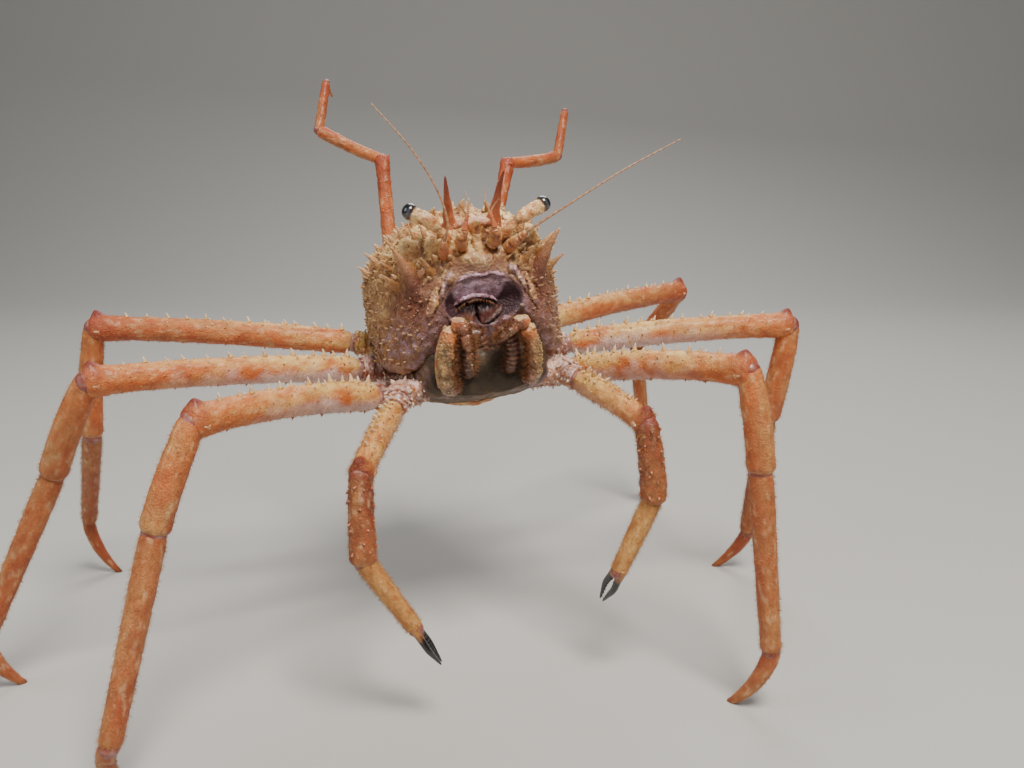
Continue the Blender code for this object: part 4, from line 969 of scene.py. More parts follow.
    # Propodus, or the palm of a claw
    half = PROPODUS_HALF[number]
    top = upper_side(propodus_way, outside)
    name = "palm" if number == 1 else "propodus"
    propodus, way, over = segment(
        f"{kind}_{name}_{side_name}_shell", wrist - propodus_way * half * 0.35,
        heel + propodus_way * half * (0.1 if number == 1 else 0.3), top, 0.0,
        widths(half, (0.0, 0.92), (0.08, 1.04), (0.3, 1.04), (0.7, 0.94), (0.93, 0.90), (1.0, 0.84)),
        seed + 0.8, cap=0.05, lump=0.2)
    spots = points_of(propodus)
    colors = limb_color(
        way, over, spots, BROWN_ORANGE if number > 1 else CLAW_OCHRE * 0.85,
        DEEP_ORANGE if number > 1 else CLAW_OCHRE, 0.2, seed + 2.0)
    paint(propodus, colors)
    propodus.data.materials.append(limb_shell)

    # Dactylus: a curved, downy toe with a dark horny tip that ends at the floor
    down_pieces = []
    if number > 1:
        half = DACTYLUS_HALF[number]
        top = upper_side(dactylus_way, -propodus_way if number == 5 else outside)
        toe_end = heel + dactylus_way * length
        tip_share = 0.36 if number < 5 else 0.2
        dactylus, toe_way, toe_over = segment(
            f"{kind}_dactylus_{side_name}_shell", heel - dactylus_way * half * 0.5, toe_end, top,
            0.09 * length,
            ((0.0, half * 0.92), (0.15, half * 1.03), (0.45, half * 0.92), (0.75, half * 0.66),
             (0.92, half * 0.45), (1.0, half * tip_share)),
            seed + 1.2, cap=0.03, lump=0.12)
        spots = points_of(dactylus)
        if number < 5:
            spots[:, 2] = np.maximum(spots[:, 2], 0.0)
            put(dactylus, spots)
        colors = limb_color(toe_way, toe_over, spots, DEEP_ORANGE, BROWN_ORANGE, 0.15, seed + 3.0)
        paint(dactylus, blend(colors, shell_color(92, 52, 36), np.clip(toe_way * 7.0 - 6.0, 0.0, 0.9)))
        dactylus.data.materials.append(limb_shell)
        if number < 5:
            down_pieces.append(down_on(
                f"{kind}_dactylus_{side_name}_down", dactylus, toe_way, toe_over, DOWN_HAIRS["dactylus"],
                0.5, 1.2, chance, lambda along, up: 1.0 - 0.6 * along))
        dress(dactylus, AS_BUILT, "limb_shell", f"{kind}_dactylus_{side_name}")
    if number < 5:
        low, high = (1.0, 2.4) if number == 1 else (0.6, 1.4)
        down_pieces.append(down_on(
            f"{kind}_merus_{side_name}_down", merus, merus_share, merus_over, DOWN_HAIRS["merus"], low,
            high, chance, lambda along, up: 0.9 if number == 1 else 0.55 - 0.35 * up))
        down_pieces.append(down_on(
            f"{kind}_{name}_{side_name}_down", propodus, way, over, DOWN_HAIRS[name], 0.8, 1.9, chance,
            lambda along, up: 0.9))
        carpus_spots = points_of(carpus)
        carpus_share = (carpus_spots - knee) @ carpus_way / CARPUS_LENGTH[number]
        carpus_over = normals_of(carpus) @ upper_side(carpus_way, outside)
        down_pieces.append(down_on(
            f"{kind}_carpus_{side_name}_down", carpus, carpus_share, carpus_over, DOWN_HAIRS["carpus"], 0.7,
            1.7, chance, lambda along, up: 0.8))
    dress(merus, AS_BUILT, "limb_shell", f"{kind}_merus_{side_name}")
    dress(carpus, AS_BUILT, "limb_shell", f"{kind}_carpus_{side_name}")
    dress(propodus, AS_BUILT, "limb_shell", f"{kind}_{name}_{side_name}")
    for piece in down_pieces:
        dress(piece, AS_BUILT, "limb_shell")

    # Claw fingers: two slender black blades with low teeth, the upper one movable
    if number == 1:
        frame_top = upper_side(propodus_way, outside)
        half = DACTYLUS_HALF[1] * 0.8
        for finger_name, out in (("finger", 1.0), ("fixed_finger", -1.0)):
            apart = frame_top * out * (half + 0.35)
            path = [heel - dactylus_way * 3.0 + apart, heel + dactylus_way * length * 0.2 + apart * 1.12,
                    heel + dactylus_way * length * 0.5 + apart + frame_top * out * 0.9,
                    heel + dactylus_way * length * 0.8 + apart * 0.85,
                    heel + dactylus_way * length + apart * 0.45]
            finger, way, over = sleeve(
                f"cheliped_{finger_name}_{side_name}_shell", path,
                widths(half, (0.0, 1.1), (0.2, 1.05), (0.6, 0.8), (0.9, 0.4), (1.0, 0.2)), 24, 60, 0.85,
                tuple(frame_top * out), 0.04)
            spots = points_of(finger)
            inner = np.clip(-over, 0.0, 1.0)
            teeth = 0.28 * inner ** 3 * np.sin(way * 70.0) * (way > 0.25) * (way < 0.95)
            put(finger, spots + normals_of(finger) * teeth[:, None])
            dark = np.clip(way * 6.0 - 1.1 + 0.5 * grain(spots, 1.5, seed, 2), 0.0, 1.0)
            paint(finger, blend(CLAW_OCHRE * 0.7, shell_color(26, 24, 26), dark))
            finger.data.materials.append(finger_shell)
            nodes = [f"cheliped_finger_{side_name}"] if finger_name == "finger" else []
            dress(finger, AS_BUILT, "finger_shell", *nodes)

    # Soft skin that shows in each joint
    joints = [(hip + merus_way * start, MERUS_HALF[number] * 0.80), (knee, CARPUS_HALF[number] * 0.93),
              (wrist, PROPODUS_HALF[number] * 1.0), (heel, PROPODUS_HALF[number] * 0.80)]
    for count, (middle, radius) in enumerate(joints):
        ways = (merus_way, merus_way, carpus_way, propodus_way)[count]
        fold, _, _ = sleeve(
            f"{kind}_joint_{count}_{side_name}_skin",
            [middle - ways * radius, middle, middle + ways * radius],
            ((0.0, radius), (0.35, radius), (0.45, radius * 0.93), (0.55, radius), (1.0, radius)), 24, 24,
            0.92, tuple(upper_side(ways, outside)), 0.5)
        paint_and_dress(fold,
                        blend(shell_color(134, 58, 40), PALE_LILAC,
                              (0.08 if count else 0.3) + 0.3 * grain(points_of(fold), 2.5, seed, 2)),
                        joint_skin, AS_BUILT, "limb_shell")


# Mouth field: a lilac plate with two arched lips above the opening, a pale raised rim down each side,
# and the jaws and small limbs inside. The lips and rims are shell of the head, the jaws are harder
# blades of a red-brown painted darker as shade under the lip, and short bristles grow on all that can move.
LIP_COLOR, RIM_COLOR = shell_color(198, 158, 178), shell_color(222, 150, 96)
BRISTLE_BROWN = shell_color(132, 82, 44)
LIPS = {"upper": ((-12.5, -50.5, 9.5), (-8.5, -52.3, 11.6), (-3.5, -52.9, 12.6), (0.0, -53.0, 12.2),
                  (3.5, -52.9, 12.6), (8.5, -52.3, 11.6), (12.5, -50.5, 9.5)),
        "lower": ((-13.0, -45.8, 0.6), (-10.4, -47.4, 2.2), (-7.0, -48.8, 3.4), (-3.0, -49.3, 3.9),
                  (1.0, -48.8, 3.4), (4.4, -47.4, 2.2), (7.0, -45.8, 0.6))}
MOUTH_DRIFT = np.array((-3.0, 0.0, 0.0))
BRISTLE_RADIUS = 0.13
LIP_BRISTLES, PALP_BRISTLES, LIMB_BRISTLES = 90, 150, 330
RIMS = ((17.6, -51.8, 12.0), (20.0, -51.0, 8.0), (22.2, -49.8, 3.0), (23.6, -48.6, -1.0), (24.4, -47.4, -5.0))
CHEEK_RIDGES = ((12.4, -53.5, 15.0), (14.6, -53.2, 12.4), (16.8, -52.4, 9.0), (18.4, -51.0, 5.0),
                (19.2, -49.0, 1.5))
face_shell = shell_material("face_shell", 0.38, 0.7, 0.22, wet=0.55)
bristle_skin = shell_material("brown_bristles", 0.6, 0.4, 0.02, wet=0.1, glow=0.0)
bristle = modelled_spine("bristle", 4, 4, 0.3)


def fringe(name, rows, placement):
    """Bristles, each given by its root, its tip and its tone, with their place on an unwrapped skin."""
    made = copies(name, bristle,
                  [(root, tip, BRISTLE_RADIUS, BRISTLE_BROWN * 0.7, BRISTLE_BROWN * tone)
                   for root, tip, tone in rows])
    made.data.materials.append(bristle_skin)
    roots = np.array([row[0] for row in rows])
    away = roots - roots.mean(axis=0)
    share = (roots[:, 2] - roots[:, 2].min()) / np.ptp(roots[:, 2])
    turn = np.arctan2(away[:, 0], -away[:, 1]) / math.pi
    lay_tufts(made, bristle[0], np.stack([0.02 + 0.96 * share, 0.5 + 0.48 * turn], axis=1))
    dress(made, placement, "underside_shell")


chance = random.Random(31)
for lip_name, places in LIPS.items():
    lip, _, over = sleeve(
        f"mouth_lip_{lip_name}", places,
        ((0.0, 0.4), (0.2, 0.8), (0.42, 0.95), (0.5, 0.7), (0.58, 0.95), (0.8, 0.8), (1.0, 0.4)), 24, 110,
        1.7, (0.0, -0.5, 0.85), 0.08)
    roughen(lip, 2.4, 0.5, 51.0, 0.5)
    tone = grain(points_of(lip), 2.4, 52.0, 2)
    # The underside of each lip is painted umber as painted shade.
    colors = blend(blend(MAUVE, LIP_COLOR, 0.5 + 0.9 * tone), UMBER, -1.2 * over - 0.1)
    paint_and_dress(lip, colors, face_shell, BODY, "carapace_shell")
rows = []
for sign in (1.0, -1.0):
    word = "left" if sign > 0.0 else "right"
    flip = np.array((sign, 1.0, 1.0))
    for part, places, girth, tint in (
            ("rim", RIMS,
             ((0.0, 0.9), (0.12, 1.7), (0.3, 1.4), (0.5, 2.2), (0.7, 1.5), (0.85, 1.7), (1.0, 0.7)),
             RIM_COLOR),
            ("ridge", CHEEK_RIDGES, ((0.0, 0.8), (0.2, 1.6), (0.4, 1.1), (0.65, 1.5), (1.0, 0.5)),
             LIP_COLOR)):
        on_shell = []
        for place in places:
            spot, normal, _, _ = shield_tree.find_nearest(Vector(np.array(place) * flip))
            on_shell.append(np.array(spot) - np.array(normal) * 0.7)
        piece, way, _ = sleeve(f"mouth_{part}_{word}", on_shell, girth, 28, 90, 1.6, (sign, 0.0, 0.3), 0.2)
        roughen(piece, 3.4, 0.7, 53.0 + sign, 0.7)
        tone = grain(points_of(piece), 2.2, 54.0, 2)
        colors = blend(0.8 * tint, CREAM, 0.15 + 0.9 * tone)
        paint_and_dress(piece, blend(colors, shell_color(128, 88, 78), 0.25 + 0.6 * way - 0.9 * tone),
                        face_shell, BODY, "carapace_shell")
    jaw_path = np.array((
        (14.6, -40.0, 0.6), (10.4, -43.4, -1.4), (5.4, -45.4, -3.2), (0.4, -46.2, -4.4))) * flip
    jaw, _, over = sleeve(
        f"jaw_{word}", jaw_path + MOUTH_DRIFT, ((0.0, 3.4), (0.35, 4.8), (0.75, 5.2), (1.0, 4.4)), 40, 70,
        0.3, (0.0, 0.0, 1.0), 0.05)
    roughen(jaw, 2.6, 0.7, 56.0, 0.5)
    spots = points_of(jaw)
    tone = grain(spots, 1.8, 50.0, 2)
    # The jaws' red-brown is painted darker overall and darkest on their upper side, as painted shade under
    # the lip.
    colors = blend(shell_color(84, 38, 36), shell_color(112, 68, 54), 0.3 + 0.9 * tone)
    paint_and_dress(jaw, blend(colors, shell_color(40, 18, 22), np.clip(0.9 * over + 0.3, 0.0, 0.9)),
                    bristle_skin, BODY, "underside_shell")
    blade_path = np.array((
        (12.4, -44.8, -1.2), (9.8, -46.0, -4.0), (6.4, -46.8, -6.4), (2.8, -47.2, -8.2))) * flip
    blade, _, over = sleeve(
        f"jaw_blade_{word}", blade_path + MOUTH_DRIFT, ((0.0, 0.5), (0.3, 0.9), (0.7, 0.8), (1.0, 0.4)), 24,
        60, 1.5, (sign * 0.4, -1.0, 0.6), 0.15)
    roughen(blade, 1.6, 0.35, 49.0, 0.4)
    tone = grain(points_of(blade), 1.6, 48.0, 2)
    paint_and_dress(blade,
                    blend(shell_color(64, 34, 32), shell_color(98, 70, 62), 0.1 + 0.5 * over + 1.0 * tone),
                    bristle_skin, BODY, "underside_shell")
    palp_path = np.array((
        (9.5, -43.5, -14.0), (10.4, -48.0, -11.5), (9.0, -51.0, -8.0), (6.0, -51.8, -8.6),
        (3.4, -51.0, -12.0))) * flip
    palp, way, over = sleeve(
        f"inner_palp_{word}", palp_path, ((0.0, 1.5), (0.4, 1.8), (0.55, 1.7), (0.75, 1.2), (1.0, 0.5)), 20,
        56, 1.1, (0.0, -1.0, 0.2))
    roughen(palp, 1.8, 0.2, 55.0, 0.2)
    # The palp is painted umber on the side turned away from the front, as painted shade.
    paint(palp,
          blend(blend(shell_color(118, 72, 58), LIP_COLOR, 0.9 * bell((way - 0.5) / 0.16)), UMBER, -over))
    palp.data.materials.append(face_shell)
    spots, out = points_of(palp), normals_of(palp)
    for _ in range(PALP_BRISTLES):
        i = chance.randrange(len(spots))
        if way[i] > 0.35:
            lean = out[i] + np.array((-0.9 * sign, -0.3, -0.5)) * chance.uniform(0.5, 1.0)
            rows.append((spots[i], spots[i] + lean * chance.uniform(1.0, 2.2), chance.uniform(0.7, 1.6)))
    dress(palp, BODY, "underside_shell")
    second_path = np.array((
        (8.6, -40.5, -30.0), (10.0, -46.5, -25.0), (9.6, -51.0, -16.5), (6.6, -53.2, -12.2),
        (3.4, -52.6, -15.5), (2.6, -50.8, -20.5))) * flip
    second, way, _ = sleeve(
        f"second_mouth_limb_{word}", second_path,
        ((0.0, 2.0), (0.2, 2.6), (0.5, 2.5), (0.6, 2.0), (0.66, 2.2), (0.85, 1.5), (1.0, 0.6)), 28, 90,
        1.25, (0.0, -1.0, 0.25), 0.06)
    spots = points_of(second)
    put(second, spots + normals_of(second) * (0.28 * np.sin(way * 95.0))[:, None])
    roughen(second, 2.0, 0.25, 57.0, 0.3)
    colors = blend(shell_color(112, 56, 44), shell_color(150, 104, 74), 0.5 + grain(spots, 2.6, 58.0, 2))
    paint(second, blend(colors, UMBER * 0.7, 0.5 - 0.5 * np.sin(way * 95.0)))
    second.data.materials.append(face_shell)
    spots, out = points_of(second), normals_of(second)
    for _ in range(LIMB_BRISTLES):
        i = chance.randrange(len(spots))
        if out[i][1] < 0.4:
            lean = out[i] + np.array((-0.7 * sign, -0.4, 0.1)) * chance.uniform(0.3, 1.0)
            rows.append((spots[i], spots[i] + lean * chance.uniform(0.8, 2.2), chance.uniform(0.6, 1.5)))
    dress(second, BODY, "underside_shell")
for _ in range(LIP_BRISTLES):
    x_place = chance.uniform(-9.5, 9.5)
    root = np.array((x_place, -49.2 + 0.03 * x_place ** 2, 2.8 - 0.045 * x_place ** 2)) + MOUTH_DRIFT
    rows.append((root, root + np.array((chance.uniform(-0.4, 0.4), -0.7, -1.5)) * chance.uniform(0.8, 1.5),
                 chance.uniform(0.8, 1.8)))
fringe("mouth_bristles", rows, BODY)


# Brow: a raised arch between the two long spines and a crest down the middle of the face. Both are
# swellings of the carapace's own shell, red-brown below and cream on top, partly the shell's own colours and
# partly painted shade below and painted highlight on top.
arch_path = ((-9.6, -48.6, 33.0), (-6.4, -50.6, 34.2), (-2.6, -51.6, 34.4), (2.6, -51.6, 34.4),
             (6.4, -50.6, 34.2), (9.6, -48.6, 33.0))
crest_path = ((0.0, -52.4, 16.5), (0.0, -53.2, 20.5), (0.0, -53.9, 25.0), (0.0, -55.4, 29.5),
              (0.0, -57.5, 32.4))
for part, places, girth, low_color, high_color in (
        ("brow_arch", arch_path, ((0.0, 1.4), (0.5, 2.1), (1.0, 1.4)), shell_color(142, 62, 44),
         shell_color(208, 150, 116)),
        ("brow_crest", crest_path, ((0.0, 0.9), (0.4, 1.6), (0.8, 1.5), (1.0, 0.9)),
         shell_color(164, 100, 58), shell_color(222, 172, 112))):
    piece, _, over = sleeve(part, places, girth, 28, 80, 1.25, (0.0, -0.5, 1.0), 0.2)
    roughen(piece, 2.6, 0.45, 59.0, 0.6)
    tone = grain(points_of(piece), 2.2, 60.0, 2)
    # Darker below and cream on top by the way each point faces: partly the shell's colours, partly painted
    # shade and painted highlight.
    paint_and_dress(piece, blend(low_color, high_color, 0.55 + 0.8 * over + 0.5 * tone), face_shell, BODY,
                    "carapace_shell")


# Outer mouth limbs: a stout, slightly flattened arm stands up from under the thorax on each side, knees
# beside the mouth and folds its palp back inward. The olive-brown shell has granules in rows, an orange
# swollen knee painted pale on top as a painted highlight, a slender outer branch behind it and long bristles
# along the inner edges.
MAXILLIPEDS = {
    "left": (((16.5, -40.4, -34.3), (18.2, -46.5, -33.0), (18.5, -52.5, -22.0), (15.4, -56.6, -11.5)),
             ((15.4, -56.8, -10.6), (11.5, -58.6, -10.4), (7.0, -59.0, -13.6), (0.5, -58.5, -17.0))),
    "right": (((-16.5, -40.4, -34.3), (-19.5, -46.5, -33.0), (-20.0, -52.5, -21.0), (-16.2, -56.6, -8.6)),
              ((-16.0, -56.8, -7.6), (-12.9, -59.4, -8.6), (-11.5, -59.5, -15.0), (-10.5, -56.5, -28.0))),
}
OLIVE_SHELL, KNEE_ORANGE = shell_color(112, 88, 54), shell_color(220, 128, 66)
ARM_BRISTLES, FOLDED_PALP_BRISTLES = 520, 420
BEAD_SINK = 0.1


def beads_on(spots, out, allowed, gap, sizes, color, chance, girth=0.9, foot=0.6, tones=None):
    """Places for copied beads, scattered over the allowed part of a skin."""
    made = []
    for i in scattered(spots, allowed, gap, chance):
        size = chance.uniform(*sizes)
        tip_color = color * chance.uniform(*tones) if tones else color
        made.append((spots[i] - out[i] * BEAD_SINK, spots[i] + out[i] * size, size * girth, color * foot,
                     tip_color))
    return made


for word, (arm_path, palp_path) in MAXILLIPEDS.items():
    sign = 1.0 if word == "left" else -1.0
    arm, way, _ = sleeve(
        f"maxilliped_{word}_arm", arm_path,
        ((0.0, 3.2), (0.1, 3.6), (0.31, 3.7), (0.355, 2.9), (0.41, 3.7), (0.7, 3.6), (0.86, 3.3),
         (0.94, 3.7), (1.0, 3.5)),
        44, 120, 0.8, (sign, 0.3, 0.2), 0.07)
    roughen(arm, 3.2, 0.5, 61.0 + sign, 0.8)
    spots, out = points_of(arm), normals_of(arm)
    tone = grain(spots, 3.0, 62.0 + sign, 3)
    colors = blend(OLIVE_SHELL, BROWN_ORANGE, 0.3 + 0.8 * tone - 0.3 * out[:, 0] * sign)
    colors = blend(colors, CREAM, np.clip(0.35 * out[:, 0] * sign + 0.6 * tone, 0.0, 0.55))
    colors = blend(colors, LILAC, 0.5 * np.clip(1.0 - 2.6 * way, 0.0, 1.0) * np.clip(0.5 + tone, 0.0, 1.0))
    colors = blend(colors, KNEE_ORANGE, 0.9 * bell((way - 0.90) / 0.10))
    # The upward faces of the knee are painted pale as a painted highlight.
    paint(arm, blend(colors, PALE_TIP, np.clip(0.9 * out[:, 2], 0.0, 1.0) * (way > 0.85)))
    arm.data.materials.append(face_shell)
    palp, palp_way, _ = sleeve(
        f"maxilliped_{word}_palp", palp_path,
        ((0.0, 3.4), (0.14, 3.3), (0.28, 2.9), (0.34, 2.1), (0.40, 2.7), (0.6, 2.3), (0.65, 1.6),
         (0.70, 2.0), (1.0, 0.6)),
        36, 110, 0.92, (0.0, -1.0, 0.3), 0.07)
    roughen(palp, 2.6, 0.45, 64.0 + sign, 0.6)
    palp_spots, palp_out = points_of(palp), normals_of(palp)
    tone = grain(palp_spots, 2.4, 65.0 + sign, 3)
    colors = blend(shell_color(138, 70, 48), shell_color(112, 84, 54), 0.8 * palp_way + 0.6 * tone)
    colors = blend(colors, KNEE_ORANGE, 0.9 - 4.0 * palp_way)
    # The upward faces near the palp's knee end are painted pale as a painted highlight.
    paint(palp, blend(colors, PALE_TIP, np.clip(palp_out[:, 2] - 0.15, 0.0, 0.85) * (palp_way < 0.3)))
    palp.data.materials.append(face_shell)
    branch = np.array(arm_path) + np.array((2.2 * sign, 4.0, 1.5))
    outer, _, _ = sleeve(
        f"maxilliped_{word}_branch", branch, ((0.0, 2.4), (0.6, 1.9), (0.88, 1.3), (1.0, 0.6)), 22, 60, 0.6,
        (sign, 0.0, 0.0))
    roughen(outer, 2.4, 0.2, 67.0, 0.3)
    paint(outer,
          blend(shell_color(176, 150, 104), BROWN_ORANGE, 0.4 + grain(points_of(outer), 3.0, 68.0, 2)))
    outer.data.materials.append(face_shell)
    rows = []
    for places, normals, share, count in (
            (spots, out, way, ARM_BRISTLES), (palp_spots, palp_out, palp_way, FOLDED_PALP_BRISTLES)):
        inner = np.array((-sign, -0.15, -0.1))
        while count:
            i = chance.randrange(len(places))
            if normals[i] @ inner > 0.45 and 0.1 < share[i] < 0.97:
                lean = normals[i] + np.array((-0.5 * sign, -0.3, 0.3)) * chance.uniform(0.2, 1.0)
                rows.append((places[i], places[i] + lean * chance.uniform(0.9, 2.6),
                             chance.uniform(0.7, 1.8)))
                count -= 1
    knobs = beads_on(spots, out, (out[:, 0] * sign > -0.2) & (way > 0.04), 1.5, (0.3, 0.6), CREAM, chance,
                     tones=(0.6, 1.0))
    knobs += beads_on(palp_spots, palp_out, (palp_out[:, 1] < 0.2) & (palp_way > 0.05), 1.6, (0.25, 0.5),
                      CREAM, chance, foot=0.5, tones=(0.5, 0.95))
    grains = copies(f"maxilliped_{word}_granules", bead, knobs)
    grains.data.materials.append(face_shell)
    dress(arm, BODY, "underside_shell", f"maxilliped_{word}")
    for piece in (palp, outer, grains):
        dress(piece, BODY, "underside_shell")
    fringe(f"maxilliped_{word}_bristles", rows, BODY)


# Feelers: the inner pair has a swollen orange root and two short hair-fine lashes, the outer pair three
# root joints and one very long lash. The lashes are hundreds of tiny rings of thin, flexible shell.
ANTENNULE_ROOT = ((6.4, -51.0, 24.4), (7.2, -55.5, 25.8), (7.4, -59.0, 28.0), (6.4, -61.5, 31.0))
ANTENNULE_STEM = ((6.5, -61.2, 30.4), (5.6, -62.6, 33.6), (4.6, -63.5, 36.6))
LASHES = (((4.7, -63.5, 36.0), (3.7, -63.5, 41.5), (4.2, -62.5, 46.5)),
          ((5.0, -63.2, 36.0), (6.6, -64.2, 38.6), (7.9, -65.6, 40.2), (8.6, -67.2, 40.8)))
ANTENNAE = {"left": ((13.5, -50.0, 22.0), (15.0, -55.0, 23.5), (18.0, -60.0, 25.5), (22.0, -64.0, 28.0),
                     (40.0, -69.5, 36.5), (62.0, -74.5, 46.5), (87.0, -79.0, 56.0)),
            "right": ((-13.5, -50.0, 22.0), (-15.0, -55.0, 23.5), (-15.5, -61.5, 27.0),
                      (-14.0, -66.0, 33.5), (-17.0, -68.5, 47.0), (-25.5, -70.0, 64.0),
                      (-38.5, -69.5, 83.0))}
FEELER_POINTS, ROOT_END, LASH_START = 200, 0.17, 0.15
feeler_shell = shell_material("feeler_shell", 0.42, 0.6, 0.1, wet=0.4)
for word, sign in (("left", 1.0), ("right", -1.0)):
    flip = np.array((sign, 1.0, 1.0))
    root, way, over = sleeve(
        f"antennule_{word}_root", np.array(ANTENNULE_ROOT) * flip,
        ((0.0, 2.3), (0.18, 2.7), (0.27, 1.9), (0.36, 2.7), (0.55, 2.9), (0.66, 1.9), (0.74, 2.3),
         (1.0, 1.3)),
        32, 72, 0.95)
    roughen(root, 2.2, 0.5, 71.0 + sign, 0.7)
    tone = grain(points_of(root), 2.2, 72.0 + sign, 3)
    # Rust on the underside and cream on top are partly the feeler's own mottling and partly painted shade and
    # painted highlight.
    colors = blend(shell_color(204, 134, 76), RUST, 0.1 - 0.5 * over + 0.6 * tone)
    colors = blend(colors, RUST, 0.8 * bell((way - 0.27) / 0.03) + 0.8 * bell((way - 0.66) / 0.03))
    paint_and_dress(root, blend(colors, CREAM, np.clip(0.3 + 0.6 * over + 0.9 * tone, 0.0, 0.8)),
                    feeler_shell, BODY, "feeler_shell", f"antennule_{word}")
    stem, _, over = sleeve(
        f"antennule_{word}_stem", np.array(ANTENNULE_STEM) * flip,
        ((0.0, 1.5), (0.2, 1.2), (0.5, 0.95), (0.55, 0.7), (0.62, 0.95), (1.0, 0.75)), 20, 44, 1.0)
    # The stem is painted paler on its upper side as a painted highlight.
    paint_and_dress(stem, blend(shell_color(196, 110, 66), PALE_TIP, 0.5 * over), feeler_shell, BODY,
                    "feeler_shell")
    for count, places in enumerate(LASHES):
        lash, way, _ = sleeve(
            f"antennule_{word}_lash_{count}", np.array(places) * flip,
            ((0.0, 0.5), (0.4, 0.4), (1.0, 0.12)), 8, 60, 1.0, (1.0, 0.2, 0.0))
        spots = points_of(lash)
        put(lash, spots + normals_of(lash) * (0.06 * np.sin(way * 150.0))[:, None])
        paint_and_dress(lash, blend(shell_color(150, 92, 62), CREAM, 0.25 + 0.3 * np.sin(way * 75.0)),
                        feeler_shell, BODY, "feeler_shell")
    line = smooth_line(ANTENNAE[word], FEELER_POINTS)
    root, way, over = sleeve(
        f"antenna_{word}_root", line[:int(FEELER_POINTS * ROOT_END)],
        ((0.0, 2.7), (0.30, 2.6), (0.36, 2.1), (0.42, 2.5), (0.66, 2.0), (0.71, 1.5), (0.77, 1.8),
         (1.0, 1.0)),
        28, 64, 0.95, (0.0, 0.2, 1.0))
    roughen(root, 2.2, 0.22, 74.0 + sign, 0.35)
    tone = grain(points_of(root), 2.2, 75.0 + sign, 3)
    # Cream on the upper side is partly the root's own mottling and partly painted highlight.
    colors = blend(shell_color(186, 112, 66), CREAM, 0.25 + 0.5 * over + 0.7 * tone)
    paint_and_dress(root,
                    blend(colors, shell_color(140, 58, 36),
                          0.8 * bell((way - 0.36) / 0.03) + 0.8 * bell((way - 0.71) / 0.03)),
                    feeler_shell, BODY, "feeler_shell", f"antenna_{word}")
    lash, way, _ = sleeve(
        f"antenna_{word}_lash", line[int(FEELER_POINTS * LASH_START):],
        ((0.0, 0.85), (0.06, 0.58), (0.4, 0.42), (0.8, 0.32), (1.0, 0.25)), 8, 420, 1.0, (0.2, 0.0, 1.0),
        0.01)
    put(lash, points_of(lash) + normals_of(lash) * (0.03 * np.sin(way * 620.0))[:, None])
    paint_and_dress(lash, blend(shell_color(150, 98, 72), CREAM, 0.18 + 0.12 * np.sin(way * 160.0)),
                    feeler_shell, BODY, "feeler_shell")


# Thorax: the body's underside, a limy case of sternal plates with sutures between them. Its olive-yellow
# shell is marked with lilac, and a leg root of two short rings grows out at each of ten places.
THORAX_HALF_WIDTH = 31.0
THORAX_UNDERSIDE = (
    (-40.0, -39.0), (-24.0, -42.0), (-4.0, -42.0), (12.0, -39.0), (26.0, -29.0), (40.0, -15.0),
    (52.0, -3.0))
SUTURES = (-27.0, -15.0, -2.5, 9.0, 21.0, 33.0, 44.0)
sternum_shell = shell_material("sternum_shell", 0.62, 0.9, 0.4, wet=0.1)
root_shell = shell_material("leg_root_shell", 0.46, 0.85, 0.22, wet=0.4)
INTO_BODY = BODY.inverted()


def thorax_row(y, count):
    """Cross section of the thorax, evenly spaced round from the middle of its upper side."""
    half = min(THORAX_HALF_WIDTH, 0.80 * float(plan_half_width(np.array(y))))
    top = float(lower_edge(y)) - 0.48
    under = float(np.interp(y, *zip(*THORAX_UNDERSIDE)))
    turn = np.linspace(0.0, math.pi, 41)
    lean = np.cos(turn)
    round_x = half * np.sign(lean) * np.abs(lean) ** DOME_POWER
    round_z = top + (under - top) * (0.55 + 0.45 * np.maximum(0.0, np.sin(turn)) ** DOME_POWER)
    x = np.concatenate([[0.0, half, half], round_x, [-half, -half, 0.0]])
    bend = top + (under - top) * 0.35
    return even_ring(x, y, np.concatenate([[top, top, bend], round_z, [bend, top, top]]), count)


thorax_table = capped([thorax_row(y, 120) for y in np.linspace(-40.0, 52.0, 101)], 12, 1.5)
thorax = moulded("thorax_sternum", 120, len(thorax_table) - 1, lambda row, side: thorax_table[row, side])
spots, out = points_of(thorax), normals_of(thorax)
x, y, z = spots.T
below = np.clip(-out[:, 2] * 1.6, 0.0, 1.0)
bend = y - 0.10 * np.abs(x)
furrow = sum(bell((bend - line) / 1.1) for line in SUTURES) * below * (np.abs(x) > 3.0)
middle_line = bell(x / 1.3) * below
rise = -1.5 * furrow - 1.0 * middle_line + 0.45 * grain(spots, 6.0, 81.0, 3)
rise += 0.5 * np.maximum(0.0, grain(spots, 1.9, 82.0, 2) - 0.1)
put(thorax, spots + out * rise[:, None])
tone, fine_tone = grain(spots, 9.0, 83.0, 3), grain(spots, 2.8, 84.0, 2)
colors = blend(OLIVE_SHELL * 0.55, shell_color(128, 98, 58), 0.3 + 0.9 * tone)
colors = blend(colors, LILAC, np.clip(0.5 * grain(spots, 12.0, 85.0, 2) + 0.55 * fine_tone, 0.0, 0.75))
colors = blend(colors, UMBER, 0.75 * np.clip(furrow + middle_line, 0.0, 1.0))
# The forward-facing front of the sternum is painted dark brown as painted shade under the face.
sternum_front_shade = np.clip(-out[:, 1] * 1.5, 0.0, 1.0) * (y < -36.0)
colors = blend(colors, shell_color(56, 42, 26), sternum_front_shade * np.clip(0.95 - 0.4 * tone, 0.0, 1.0))
paint_and_dress(thorax, colors, sternum_shell, BODY, "underside_shell", "thorax")

